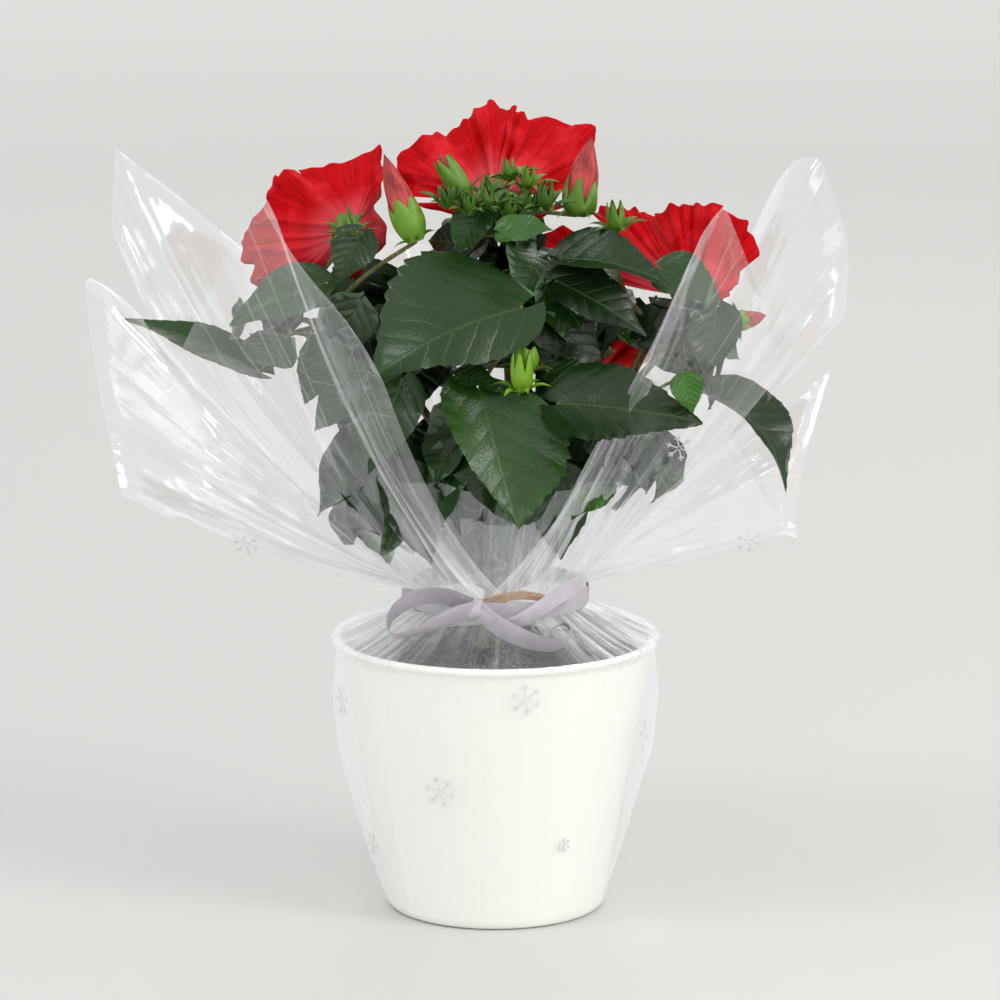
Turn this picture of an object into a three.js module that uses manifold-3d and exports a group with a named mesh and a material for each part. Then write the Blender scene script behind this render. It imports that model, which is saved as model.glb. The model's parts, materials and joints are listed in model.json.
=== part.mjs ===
// A potted hibiscus shrub in a tapered cover pot, gift wrapped in clear film with a satin bow.
// Units are millimetres, +Z is up, and the origin is at the centre of the pot's underside.
// The front of the plant, with the bow, faces -Y. Left and right are -X and +X.
import * as THREE from 'three';
import { mergeVertices } from 'three/addons/utils/BufferGeometryUtils.js';
import Module from 'manifold-3d';

const wasm = await Module();
wasm.setup();

// ---- driving dimensions ----
const GAP = 0.35; // clearance left between neighbouring pieces

const POT_HEIGHT = 132.5;
const POT_BASE_RADIUS = 52;
const POT_TOP_RADIUS = 75.5;
const POT_WALL = 1.2;
const POT_FLOOR = 1.6;
const LIP_RADIUS = 77.5;
const LIP_HEIGHT = 4.6;

const SOIL_TOP = 121;
const SOIL_CROWN = 6; // the peat rises this much towards the stem

const FILM_HALF = 0.6; // half the thickness of every film panel
const SLEEVE_STAND_OFF = 1.6;
const SLEEVE_WALL = 0.8;
const SLEEVE_HEM = 4;
const NECK_RADIUS = 42.5;
const NECK_LOW = 149;
const NECK_HIGH = 160;

const RIBBON_WIDTH = 8;
const RIBBON_HALF = 0.5;
const RIBBON_Z = 153.5;

const TRUNK_RADIUS = 6;
const TRUNK_FLARE = 1.7; // how much wider the trunk is where it meets the peat
const FORK = new THREE.Vector3(3, 2, 182);
const TWIG_RADIUS = 1.7;

const CALYX_RADIUS = 5.5;

// ---- finishes ----
const finish = (color, roughness, metalness = 0) =>
  new THREE.MeshStandardMaterial({ color, roughness, metalness });
const POT_GLAZE = finish(0xefe9d6, 0.35);
const PEAT = finish(0x3a2b20, 0.95);
const BARK = finish(0x6b5a38, 0.8);
const LEAF = finish(0x23451f, 0.45);
const PETAL = finish(0xc90f1e, 0.55);
const BUD = finish(0x5f8f1e, 0.5);
const FILM = finish(0xe8eced, 0.15);
const SATIN = finish(0xa9a3b2, 0.35);

// ---- small helpers for closed solids ----
const at = (x, y, z) => new THREE.Vector3(x, y, z);
const rad = THREE.MathUtils.degToRad;
const mix = THREE.MathUtils.lerp;

function welded(geometry) {
  const bare = geometry.clone();
  bare.deleteAttribute('normal');
  bare.deleteAttribute('uv');
  return mergeVertices(bare, 1e-3);
}

function signedVolume(geometry) {
  const place = geometry.attributes.position;
  const corner = geometry.index;
  let six = 0;
  for (let i = 0; i < corner.count; i += 3) {
    const [a, b, c] = [0, 1, 2].map((k) =>
      new THREE.Vector3().fromBufferAttribute(place, corner.getX(i + k)));
    six += a.dot(b.cross(c));
  }
  return six / 6;
}

// Faces of a closed solid point outwards: a solid wound the other way is turned round.
function outward(geometry) {
  if (signedVolume(geometry) > 0) return geometry;
  const corner = geometry.index;
  for (let i = 0; i < corner.count; i += 3) {
    const first = corner.getX(i);
    corner.setX(i, corner.getX(i + 1));
    corner.setX(i + 1, first);
  }
  return geometry;
}

// Every corner of a solid moves out along its own normal.
function inflated(geometry, amount) {
  const fat = geometry.clone();
  fat.computeVertexNormals();
  const place = fat.attributes.position;
  const normal = fat.attributes.normal;
  for (let i = 0; i < place.count; i++) {
    place.setXYZ(
      i,
      place.getX(i) + amount * normal.getX(i),
      place.getY(i) + amount * normal.getY(i),
      place.getZ(i) + amount * normal.getZ(i),
    );
  }
  fat.deleteAttribute('normal');
  return fat;
}

function toManifold(geometry) {
  return new wasm.Manifold(new wasm.Mesh({
    numProp: 3,
    vertProperties: Float32Array.from(geometry.attributes.position.array),
    triVerts: Uint32Array.from(geometry.index.array),
  }));
}

function fromManifold(solid) {
  const mesh = solid.getMesh();
  const geometry = new THREE.BufferGeometry();
  const place = new Float32Array(mesh.numVert * 3);
  for (let i = 0; i < mesh.numVert; i++) {
    place.set(mesh.vertProperties.subarray(i * mesh.numProp, i * mesh.numProp + 3), i * 3);
  }
  geometry.setAttribute('position', new THREE.BufferAttribute(place, 3));
  geometry.setIndex(Array.from(mesh.triVerts));
  return geometry;
}

// A cut can part a solid in two: only the larger piece is kept.
function largestPiece(geometry) {
  const corner = geometry.index.array;
  const parent = Array.from({ length: geometry.attributes.position.count }, (_, i) => i);
  const rootOf = (i) => {
    let root = i;
    while (parent[root] !== root) root = parent[root];
    parent[i] = root;
    return root;
  };
  for (let i = 0; i < corner.length; i += 3) {
    parent[rootOf(corner[i])] = rootOf(corner[i + 1]);
    parent[rootOf(corner[i + 1])] = rootOf(corner[i + 2]);
  }
  const pieces = new Map();
  for (let i = 0; i < corner.length; i += 3) {
    const root = rootOf(corner[i]);
    if (!pieces.has(root)) pieces.set(root, []);
    pieces.get(root).push(corner[i], corner[i + 1], corner[i + 2]);
  }
  let best = null;
  for (const faces of pieces.values()) {
    const piece = new THREE.BufferGeometry();
    piece.setAttribute('position', geometry.attributes.position);
    piece.setIndex(faces);
    const volume = Math.abs(signedVolume(piece));
    if (!best || volume > best.volume) best = { piece, volume };
  }
  return mergeVertices(best.piece.toNonIndexed(), 1e-3);
}

// ---- the group, and the order in which pieces make room for each other ----
const shrub = new THREE.Group();
const placed = [];

function add(name, geometry, material) {
  const solid = outward(welded(geometry));
  solid.computeBoundingBox();
  const mesh = new THREE.Mesh(solid, material);
  mesh.name = name;
  shrub.add(mesh);
  placed.push(mesh);
  return mesh;
}

// A piece that is added by addCut gives way to every piece before it, with GAP between them.
function addCut(name, geometry, material) {
  let solid = outward(welded(geometry));
  solid.computeBoundingBox();
  const reach = solid.boundingBox.clone().expandByScalar(2 * GAP);
  for (const earlier of placed) {
    if (!reach.intersectsBox(earlier.geometry.boundingBox)) continue;
    const cutter = toManifold(inflated(earlier.geometry, 1.5 * GAP)).add(toManifold(earlier.geometry));
    solid = largestPiece(fromManifold(toManifold(solid).subtract(cutter)));
  }
  return add(name, solid, material);
}

// ---- shapes ----
// A thin sheet of even thickness over surface(u, v), with u and v from 0 to 1.
function sheet(surface, across, along, half) {
  const place = [];
  const faces = [];
  const step = 1e-3;
  const side = (across + 1) * (along + 1);
  for (const face of [1, -1]) {
    for (let j = 0; j <= along; j++) {
      for (let i = 0; i <= across; i++) {
        const [u, v] = [i / across, j / along];
        const du = surface(Math.min(u + step, 1), v).sub(surface(Math.max(u - step, 0), v));
        const dv = surface(u, Math.min(v + step, 1)).sub(surface(u, Math.max(v - step, 0)));
        const normal = du.cross(dv).normalize();
        place.push(...surface(u, v).addScaledVector(normal, face * half).toArray());
      }
    }
  }
  const id = (i, j, back) => back * side + j * (across + 1) + i;
  const quad = (a, b, c, d) => faces.push(a, b, c, a, c, d);
  for (let j = 0; j < along; j++) {
    for (let i = 0; i < across; i++) {
      quad(id(i, j, 0), id(i + 1, j, 0), id(i + 1, j + 1, 0), id(i, j + 1, 0));
      quad(id(i, j, 1), id(i, j + 1, 1), id(i + 1, j + 1, 1), id(i + 1, j, 1));
    }
  }
  for (let i = 0; i < across; i++) {
    quad(id(i, 0, 0), id(i, 0, 1), id(i + 1, 0, 1), id(i + 1, 0, 0));
    quad(id(i, along, 0), id(i + 1, along, 0), id(i + 1, along, 1), id(i, along, 1));
  }
  for (let j = 0; j < along; j++) {
    quad(id(0, j, 0), id(0, j + 1, 0), id(0, j + 1, 1), id(0, j, 1));
    quad(id(across, j, 0), id(across, j, 1), id(across, j + 1, 1), id(across, j + 1, 0));
  }
  const geometry = new THREE.BufferGeometry();
  geometry.setAttribute('position', new THREE.Float32BufferAttribute(place, 3));
  geometry.setIndex(faces);
  return geometry;
}

// A tapering limb along a smooth curve. flare widens its foot.
function limb(points, footRadius, tipRadius, flare = 1) {
  const curve = new THREE.CatmullRomCurve3(points);
  const [sides, steps] = [7, 7];
  const geometry = new THREE.CylinderGeometry(1, 1, 1, sides, steps);
  const place = geometry.attributes.position;
  for (let i = 0; i < place.count; i++) {
    const t = place.getY(i) + 0.5;
    const along = curve.getTangentAt(t);
    const out = new THREE.Vector3().crossVectors(along, at(0.2, 1, 0)).normalize();
    const up = new THREE.Vector3().crossVectors(out, along);
    const radius = mix(footRadius, tipRadius, t) * (1 + (flare - 1) * Math.exp(-t * 9));
    const spot = curve.getPointAt(t);
    spot.addScaledVector(out, place.getX(i) * radius);
    spot.addScaledVector(up, place.getZ(i) * radius);
    place.setXYZ(i, spot.x, spot.y, spot.z);
  }
  return geometry;
}

// An uneven mass of foliage round a centre. Each seed gives it its own lumps.
function foliage(centre, radii, seed) {
  const geometry = welded(new THREE.IcosahedronGeometry(1, 2));
  const place = geometry.attributes.position;
  for (let i = 0; i < place.count; i++) {
    const way = new THREE.Vector3().fromBufferAttribute(place, i).normalize();
    const lumps = 0.09 * Math.sin(4.1 * way.x + 2.7 * seed) + 0.09 * Math.sin(4.7 * way.y - 1.9 * seed)
      + 0.08 * Math.sin(5.3 * way.z + 3.3 * seed);
    way.multiply(radii).multiplyScalar(1 + lumps).add(centre);
    place.setXYZ(i, way.x, way.y, way.z);
  }
  return geometry;
}

// A single large leaf from its stalk to its tip. Its blade faces the way `face` points,
// is widest near the stalk, cups upwards along the midrib and droops by `droop` at the tip.
function blade(stalk, tip, face, width, droop, cup = 0.16) {
  const length = tip.clone().sub(stalk);
  const across = new THREE.Vector3().crossVectors(length, face).normalize();
  const up = new THREE.Vector3().crossVectors(across, length).normalize();
  const half = (t) => 0.5 * width * Math.max(0.06, 1.32 * Math.pow(Math.sin(Math.PI * Math.pow(t, 0.7)), 0.8)
    * (1 - 0.3 * t));
  const surface = (u, v) => {
    const side = 2 * u - 1;
    const spot = stalk.clone().addScaledVector(length, v);
    spot.addScaledVector(across, side * half(v));
    spot.addScaledVector(up, cup * half(v) * side * side + droop * Math.sin(Math.PI * v));
    return spot;
  };
  return sheet(surface, 4, 6, 0.9);
}

// A hibiscus flower as one solid: a funnel from its calyx to a wide, waved rim, with a shallow dish.
function bloom(base, facing, radius, height, turn) {
  const outline = [
    [0, 0], [CALYX_RADIUS, 1], [CALYX_RADIUS * 1.5, 0.32 * height], [0.42 * radius, 0.58 * height],
    [0.78 * radius, 0.84 * height], [radius, height], [0.96 * radius, height + 3],
    [0.6 * radius, 0.9 * height], [0.25 * radius, 0.7 * height], [0, 0.62 * height],
  ];
  const profile = outline.map(([r, h]) => new THREE.Vector2(r, h));
  const geometry = welded(new THREE.LatheGeometry(profile, 15));
  const place = geometry.attributes.position;
  const aim = new THREE.Quaternion().setFromUnitVectors(at(0, 1, 0), facing.clone().normalize());
  for (let i = 0; i < place.count; i++) {
    const spot = new THREE.Vector3().fromBufferAttribute(place, i);
    const reach = Math.hypot(spot.x, spot.z) / radius;
    const angle = Math.atan2(spot.z, spot.x) + turn;
    const wave = reach * reach;
    const lobe = 1 + 0.07 * wave * Math.cos(5 * angle);
    spot.x *= lobe;
    spot.z *= lobe;
    spot.y += wave * 3.5 * Math.sin(5 * angle + 1);
    spot.applyQuaternion(aim).add(base);
    place.setXYZ(i, spot.x, spot.y, spot.z);
  }
  return geometry;
}

// A furled bud: a green calyx at its foot and a pointed, rolled flower above it.
function bud(base, tip, radius) {
  const way = tip.clone().sub(base);
  const long = way.length();
  const outline = [[0, 0], [0.45, 0.02], [0.95, 0.2], [1, 0.4], [0.8, 0.65], [0.45, 0.88], [0, 1]];
  const profile = outline.map(([r, h]) => new THREE.Vector2(r * radius, h * long));
  const geometry = welded(new THREE.LatheGeometry(profile, 9));
  geometry.applyQuaternion(new THREE.Quaternion().setFromUnitVectors(at(0, 1, 0), way.normalize()));
  geometry.translate(base.x, base.y, base.z);
  return geometry;
}

// A panel of film that leaves the tied neck between two angles and flares to its outer edge.
// The edge is a smooth curve through five corners, and belly is how far out the flare has swung
// by the time it has climbed as far as rise.
function filmPanel(from, to, corners, belly, rise) {
  const edge = new THREE.CatmullRomCurve3(corners);
  const [across, along] = [4, 8];
  const collarShare = 1 / along;
  const surface = (u, v) => {
    const angle = rad(mix(from, to, u));
    const tie = at(NECK_RADIUS * Math.cos(angle), NECK_RADIUS * Math.sin(angle), NECK_LOW);
    const collar = tie.clone();
    collar.z = NECK_HIGH;
    const rim = edge.getPoint(u);
    const pull = at(mix(tie.x, rim.x, belly), mix(tie.y, rim.y, belly), mix(NECK_HIGH, rim.z, rise));
    if (v < collarShare) return tie.lerp(collar, v / collarShare);
    const t = (v - collarShare) / (1 - collarShare);
    return collar.multiplyScalar((1 - t) ** 2)
      .addScaledVector(pull, 2 * t * (1 - t))
      .addScaledVector(rim, t * t);
  };
  return sheet(surface, across, along, FILM_HALF);
}

function ring(profile, segments = 34) {
  const geometry = new THREE.LatheGeometry(profile.map(([r, h]) => new THREE.Vector2(r, h)), segments);
  return geometry.rotateX(Math.PI / 2);
}

// ---- the cover pot and the peat in it ----
const potRadius = (z) => mix(POT_BASE_RADIUS, POT_TOP_RADIUS, z / POT_HEIGHT);

add('pot', ring([
  [0, 0],
  [POT_BASE_RADIUS - 1.2, 0],
  [POT_BASE_RADIUS, 1.2],
  [potRadius(POT_HEIGHT - LIP_HEIGHT), POT_HEIGHT - LIP_HEIGHT],
  [LIP_RADIUS, POT_HEIGHT - LIP_HEIGHT + 0.8],
  [LIP_RADIUS, POT_HEIGHT - 1],
  [LIP_RADIUS - 1, POT_HEIGHT],
  [POT_TOP_RADIUS - POT_WALL + 0.6, POT_HEIGHT],
  [POT_TOP_RADIUS - POT_WALL, POT_HEIGHT - 1],
  [POT_BASE_RADIUS - POT_WALL, POT_FLOOR],
  [0, POT_FLOOR],
]), POT_GLAZE);

const soilRadius = (z) => potRadius(z) - POT_WALL - 0.6;
add('soil', ring([
  [0, POT_FLOOR + GAP],
  [soilRadius(POT_FLOOR), POT_FLOOR + GAP],
  [soilRadius(SOIL_TOP), SOIL_TOP],
  [0.55 * soilRadius(SOIL_TOP), SOIL_TOP + 0.8 * SOIL_CROWN],
  [0.25 * soilRadius(SOIL_TOP), SOIL_TOP + SOIL_CROWN],
  [0, SOIL_TOP + SOIL_CROWN],
]), PEAT);

// ---- the wrap: a sleeve round the pot, a skirt over the peat and panels above the tie ----
const sleeveRadius = (z) => potRadius(z) + SLEEVE_STAND_OFF;
const SLEEVE_TOP = POT_HEIGHT - LIP_HEIGHT - 1;
add('film_sleeve', ring([
  [sleeveRadius(SLEEVE_HEM), SLEEVE_HEM],
  [sleeveRadius(SLEEVE_HEM) + SLEEVE_WALL, SLEEVE_HEM],
  [sleeveRadius(SLEEVE_TOP) + SLEEVE_WALL, SLEEVE_TOP],
  [sleeveRadius(SLEEVE_TOP), SLEEVE_TOP],
  [sleeveRadius(SLEEVE_HEM), SLEEVE_HEM],
]), FILM);

const SKIRT_TOP = NECK_LOW - 1.2;
const SKIRT_TOP_RADIUS = NECK_RADIUS + 1.5;
const SKIRT_SPAN = 90 - 1; // one skirt panel's angle, in degrees, less the parting beside it
['right', 'back', 'left', 'front'].forEach((side, quarter) => {
  const start = 90 * quarter - 45;
  const surface = (u, v) => {
    const angle = rad(start + SKIRT_SPAN * u);
    const radius = mix(LIP_RADIUS - 0.5, SKIRT_TOP_RADIUS, v);
    const height = mix(POT_HEIGHT + 1.2, SKIRT_TOP, v ** 1.2);
    return at(radius * Math.cos(angle), radius * Math.sin(angle), height);
  };
  add(`film_skirt_${side}`, sheet(surface, 6, 2, FILM_HALF), FILM);
});

addCut('film_left_low', filmPanel(172, 212, [
  at(-168, 40, 262), at(-196, 10, 304), at(-184, -12, 254), at(-174, -34, 213), at(-148, -54, 204),
], 0.5, 0.36), FILM);
addCut('film_left_high', filmPanel(136, 170, [
  at(-100, 84, 292), at(-140, 70, 322), at(-183, 50, 365), at(-186, 46, 322), at(-170, 44, 284),
], 0.6, 0.3), FILM);
addCut('film_left_front', filmPanel(214, 263, [
  at(-150, -60, 268), at(-128, -84, 318), at(-99, -97, 362), at(-74, -104, 318), at(-55, -100, 277),
], 0.58, 0.34), FILM);
addCut('film_right_front', filmPanel(277, 322, [
  at(70, -98, 262), at(86, -98, 306), at(103, -92, 354), at(122, -76, 312), at(132, -62, 270),
], 0.5, 0.4), FILM);
addCut('film_right_low', filmPanel(324, 358, [
  at(112, -58, 236), at(128, -44, 214), at(141, -20, 191), at(148, -8, 222), at(158, -2, 262),
], 0.45, 0.5), FILM);
addCut('film_right_high', filmPanel(0, 34, [
  at(166, 4, 284), at(164, 16, 322), at(156, 30, 358), at(140, 54, 352), at(112, 82, 300),
], 0.5, 0.36), FILM);
addCut('film_back', filmPanel(38, 132, [
  at(104, 92, 290), at(56, 118, 318), at(0, 126, 286), at(-52, 118, 312), at(-94, 92, 284),
], 0.6, 0.24), FILM);

// ---- flowers and buds ----
addCut('bloom_top', bloom(at(-2, 16, 340), at(0.03, 0.6, 0.79), 48, 22, 0.4), PETAL);
addCut('bloom_left', bloom(at(-70, -10, 320), at(-0.58, 0.79, 0.17), 42, 30, 1.1), PETAL);
addCut('bloom_right', bloom(at(86, 2, 296), at(-0.12, 0.5, 0.86), 46, 26, 2.2), PETAL);
addCut('bloom_back', bloom(at(40, 66, 238), at(0.3, 0.62, 0.7), 38, 26, 0.2), PETAL);

addCut('bud_left', bud(at(-37, -26, 326), at(-52, -24, 367), 7.5), BUD);
addCut('bud_centre', bud(at(-13, -18, 345), at(-27, -16, 367), 6), BUD);
addCut('bud_right', bud(at(38, -16, 337), at(45, -16, 374), 8), BUD);
addCut('bud_front', bud(at(14.5, -62, 279), at(14.5, -60, 296), 7), BUD);
addCut('bud_low_right', bud(at(112, -14, 286), at(128, -12, 289), 5), BUD);
addCut('bud_back', bud(at(-34, 90, 268), at(-40, 104, 300), 7.5), BUD);

// ---- the large leaves that stand out from the crown ----
addCut('leaf_front_high', blade(at(8, -58, 311), at(-56, -92, 271), at(-0.2, -0.75, 0.62), 68, 8), LEAF);
addCut('leaf_front_low', blade(at(0, -66, 271), at(12, -96, 203), at(0.1, -0.92, 0.4), 54, 7), LEAF);
addCut('leaf_right_low', blade(at(28, -52, 253), at(99, -62, 246), at(0.05, -0.45, 0.9), 44, 5), LEAF);
addCut('leaf_far_right', blade(at(98, -6, 252), at(142, -24, 206), at(0.6, -0.4, 0.7), 42, 10), LEAF);
addCut('leaf_upper_right', blade(at(30, -28, 318), at(80, -42, 308), at(0.1, -0.6, 0.8), 32, 5), LEAF);
addCut('leaf_far_left', blade(at(-112, 12, 258), at(-178, 22, 282), at(0.1, -0.35, 0.93), 32, 3), LEAF);
addCut('leaf_back_left', blade(at(-46, 70, 292), at(-88, 98, 262), at(-0.3, 0.8, 0.5), 56, 6), LEAF);
addCut('leaf_back_right', blade(at(76, 66, 280), at(104, 88, 236), at(0.5, 0.7, 0.5), 48, 6), LEAF);

// ---- the trunk, whole from the peat to its fork ----
addCut('trunk', limb([
  at(-2, 0, SOIL_TOP + SOIL_CROWN + GAP), at(-1, 0, 145), at(2, 1, 163), FORK.clone(),
], TRUNK_RADIUS, 4.6, TRUNK_FLARE), BARK);

// ---- masses of foliage round the crown, cut round everything above ----
const masses = [
  ['leaves_left_low', at(-56, -14, 210), at(28, 34, 36), 1],
  ['leaves_left_high', at(-92, -2, 291), at(33, 32, 15), 2],
  ['leaves_front_low', at(-4, -42, 222), at(28, 22, 25), 3],
  ['leaves_centre_high', at(12, -10, 297), at(44, 42, 22), 4],
  ['leaves_right_high', at(90, -14, 282), at(22, 30, 22), 5],
  ['leaves_right_low', at(52, -16, 228), at(26, 34, 20), 6],
  ['leaves_back_left', at(-54, 56, 262), at(40, 32, 36), 7],
  ['leaves_back_right', at(42, 58, 262), at(33, 31, 34), 8],
  ['leaves_back_low', at(0, 56, 210), at(36, 26, 24), 9],
  ['leaves_top', at(-2, 0, 329), at(30, 26, 12), 10],
];
for (const [name, centre, radii, seed] of masses) {
  addCut(name, foliage(centre, radii, seed), LEAF);
}

// ---- boughs, each one tapering limb from just above the fork to the mass that it carries ----
const boughs = [
  ['bough_centre', at(6, -4, 232), at(6, -8, 282)],
  ['bough_left', at(-30, -2, 226), at(-78, -4, 268)],
  ['bough_right', at(34, -6, 226), at(72, -10, 262)],
  ['bough_back_left', at(-18, 26, 220), at(-38, 48, 246)],
  ['bough_back_right', at(22, 28, 220), at(44, 48, 248)],
];
boughs.forEach(([name, elbow, end], i) => {
  const way = elbow.clone().sub(FORK).normalize();
  const foot = FORK.clone().addScaledVector(way, i === 0 ? 3 : 14);
  addCut(name, limb([foot, foot.clone().lerp(elbow, 0.45), elbow, end], 3.6 - 0.2 * i, TWIG_RADIUS), BARK);
});

// ---- the satin ribbon: a band round the neck and a bow at the front ----
const bandInner = NECK_RADIUS + FILM_HALF + 1.2;
const bandLow = RIBBON_Z - RIBBON_WIDTH / 2;
const bandHigh = RIBBON_Z + RIBBON_WIDTH / 2;
add('ribbon_band', ring([
  [bandInner, bandLow], [bandInner + 2 * RIBBON_HALF, bandLow],
  [bandInner + 2 * RIBBON_HALF, bandHigh], [bandInner, bandHigh], [bandInner, bandLow],
], 26), SATIN);

// A flat ribbon of even width along a smooth curve, its width standing along `stand`.
function ribbon(points, stand, width) {
  const curve = new THREE.CatmullRomCurve3(points);
  const up = stand.clone().normalize();
  const surface = (u, v) => curve.getPoint(v).addScaledVector(up, width * (u - 0.5));
  return sheet(surface, 1, 10, RIBBON_HALF);
}

const knotY = -(bandInner + 2 * RIBBON_HALF + 4);
const knot = at(-10, knotY, 155.5);
addCut('ribbon_knot', foliage(knot, at(5.5, 3.2, 4.5), 4), SATIN);
const bowPiece = (offsets) => offsets.map(([x, y, z]) => knot.clone().add(at(x, y, z)));
addCut('ribbon_loop_left', ribbon(bowPiece([
  [-7, 0, 2], [-22, -5, 5], [-38, -9, -2], [-40, -13, -9], [-26, -14, -6], [-8, -6, -2],
]), at(0.1, 0.25, 1), RIBBON_WIDTH - 1), SATIN);
addCut('ribbon_loop_right', ribbon(bowPiece([
  [7, 0, 0], [22, -4, -5], [38, -9, -8], [45, -12, -12], [34, -14, -14], [8, -6, -4],
]), at(-0.1, 0.25, 1), RIBBON_WIDTH - 1), SATIN);
addCut('ribbon_tail', ribbon(bowPiece([
  [6, 2, 4], [22, 1, 4], [40, 7, 6], [54, 17, 9],
]), at(-0.3, 0, 1), RIBBON_WIDTH - 1.5), SATIN);

export default shrub;
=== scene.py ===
import json
import math

import bpy
import numpy as np
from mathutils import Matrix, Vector

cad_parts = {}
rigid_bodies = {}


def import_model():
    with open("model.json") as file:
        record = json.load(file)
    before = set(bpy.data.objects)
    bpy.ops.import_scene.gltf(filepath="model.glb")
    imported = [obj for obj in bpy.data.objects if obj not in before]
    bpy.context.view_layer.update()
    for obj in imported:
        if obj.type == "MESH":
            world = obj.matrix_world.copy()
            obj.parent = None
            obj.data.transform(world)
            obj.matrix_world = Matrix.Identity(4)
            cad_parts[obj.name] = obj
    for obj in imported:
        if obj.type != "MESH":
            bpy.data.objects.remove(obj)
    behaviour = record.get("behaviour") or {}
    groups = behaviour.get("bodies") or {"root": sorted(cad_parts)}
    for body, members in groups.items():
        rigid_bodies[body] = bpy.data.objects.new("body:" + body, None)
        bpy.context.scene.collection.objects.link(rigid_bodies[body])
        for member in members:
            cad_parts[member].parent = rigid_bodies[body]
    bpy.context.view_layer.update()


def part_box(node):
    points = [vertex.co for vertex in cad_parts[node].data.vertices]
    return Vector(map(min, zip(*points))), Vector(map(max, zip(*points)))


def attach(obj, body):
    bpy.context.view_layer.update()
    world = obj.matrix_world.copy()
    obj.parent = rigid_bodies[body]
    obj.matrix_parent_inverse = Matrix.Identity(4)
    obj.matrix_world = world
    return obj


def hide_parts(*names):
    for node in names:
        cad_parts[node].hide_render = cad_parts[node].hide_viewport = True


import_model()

# ---- the studio ----
# A pale seamless table top under soft light: a broad lamp from the right, a window-like one
# from the left for the gloss on the leaves, and a pale room all round.
TABLE_SIZE = 160.0
TABLE_DROP = 0.0003
ROOM_BRIGHTNESS = 0.90

scene = bpy.context.scene
scene.view_settings.view_transform = "Standard"
scene.cycles.transparent_max_bounces = 48

CAMERA_PLACE = (0.0022, -2.2, 0.628)
CAMERA_TILT = math.radians(78.94)
CAMERA_LENS = 169

camera = bpy.data.objects.new("camera", bpy.data.cameras.new("camera"))
camera.location = CAMERA_PLACE
camera.rotation_euler = (CAMERA_TILT, 0, 0)
camera.data.lens = CAMERA_LENS
scene.collection.objects.link(camera)
scene.camera = camera


class Tone:
    """A value that runs through a finish. Plain arithmetic on it adds Math nodes."""

    def __init__(self, finish, socket):
        self.finish = finish
        self.socket = socket

    def math(self, operation, *values):
        return self.finish.node("Math", {"operation": operation}, dict(enumerate(values)))

    def __add__(self, other):
        return self.math("ADD", self, other)

    def __sub__(self, other):
        return self.math("SUBTRACT", self, other)

    def __rsub__(self, other):
        return self.math("SUBTRACT", other, self)

    def __mul__(self, other):
        return self.math("MULTIPLY", self, other)

    def __truediv__(self, other):
        return self.math("DIVIDE", self, other)

    def __pow__(self, other):
        return self.math("POWER", self, other)

    __radd__ = __add__
    __rmul__ = __mul__

    def part(self, name):
        """Another output of the node that made this value."""
        return Tone(self.finish, self.socket.node.outputs[name])

    def size(self):
        return self.math("ABSOLUTE", self)

    def step(self, low, high):
        """0 below low, 1 above high, and a soft change between them."""
        return self.finish.node(
            "MapRange", {"interpolation_type": "SMOOTHSTEP"},
            {"Value": self, "From Min": low, "From Max": high})


def picked(sockets, key):
    """A node's socket by its number, its identifier or its name."""
    if isinstance(key, int):
        return sockets[key]
    named = [s for s in sockets if key in (s.identifier, s.name)]
    return next((s for s in named if s.enabled), named[0])


def placed(tree, kind, settings, sockets):
    """A new node in a tree, with its options set and its inputs joined or filled."""
    made = tree.nodes.new(kind)
    for name, value in (settings or {}).items():
        setattr(made, name, value)
    for key, value in (sockets or {}).items():
        socket = picked(made.inputs, key)
        value = value.socket if isinstance(value, Tone) else value
        if isinstance(value, bpy.types.NodeSocket):
            tree.links.new(socket, value)
        else:
            socket.default_value = value
    return made


class Finish:
    """One material, and the nodes that it is mixed from."""

    def __init__(self, name):
        self.material = bpy.data.materials.new(name)
        self.material.use_nodes = True
        self.tree = self.material.node_tree
        self.tree.nodes.clear()
        self.end = self.tree.nodes.new("ShaderNodeOutputMaterial")

    def node(self, kind, settings=None, sockets=None, output=0):
        made = placed(self.tree, "ShaderNode" + kind, settings, sockets)
        return Tone(self, picked(made.outputs, output))

    def spot(self):
        return self.node("TexCoord", output="Object")

    def mark(self, name):
        return self.node("Attribute", {"attribute_name": name}, output="Fac")

    def stretched(self, spot, scale):
        return self.node("Mapping", {}, {"Vector": spot, "Scale": scale})

    def unwrapped(self):
        """Its place on the piece's own map: across, and out or along."""
        across = self.node("SeparateXYZ", {}, {0: self.node("UVMap", {"uv_map": "UVMap"})})
        return across, across.part("Y")

    def fan(self, across, out):
        """A place on that map, for streaks that run outwards."""
        return self.node("CombineXYZ", {}, {"X": across, "Y": out})

    def grain(self, place, scale, detail=3.0, roughness=0.5):
        return self.node("TexNoise", {}, {
            "Vector": place, "Scale": scale, "Detail": detail, "Roughness": roughness})

    def blend(self, share, first, second):
        return self.node(
            "Mix", {"data_type": "RGBA"},
            {"Factor_Float": share, "A_Color": first, "B_Color": second}, "Result_Color")

    def bump(self, height, depth, strength=1.0):
        return self.node("Bump", {}, {
            "Height": height, "Distance": depth, "Strength": strength})

    def shader(self, **sockets):
        named = {name.replace("_", " "): value for name, value in sockets.items()}
        return self.node("BsdfPrincipled", {}, named)

    def close(self, shader):
        self.tree.links.new(self.end.inputs["Surface"], shader.socket)
        return self.material


def colour(red, green, blue):
    """A paint chip's red, green and blue, from 0 to 255, as the light it sends back."""
    linear = [((c / 255 + 0.055) / 1.055) ** 2.4 for c in (red, green, blue)]
    return (*linear, 1.0)


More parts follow.
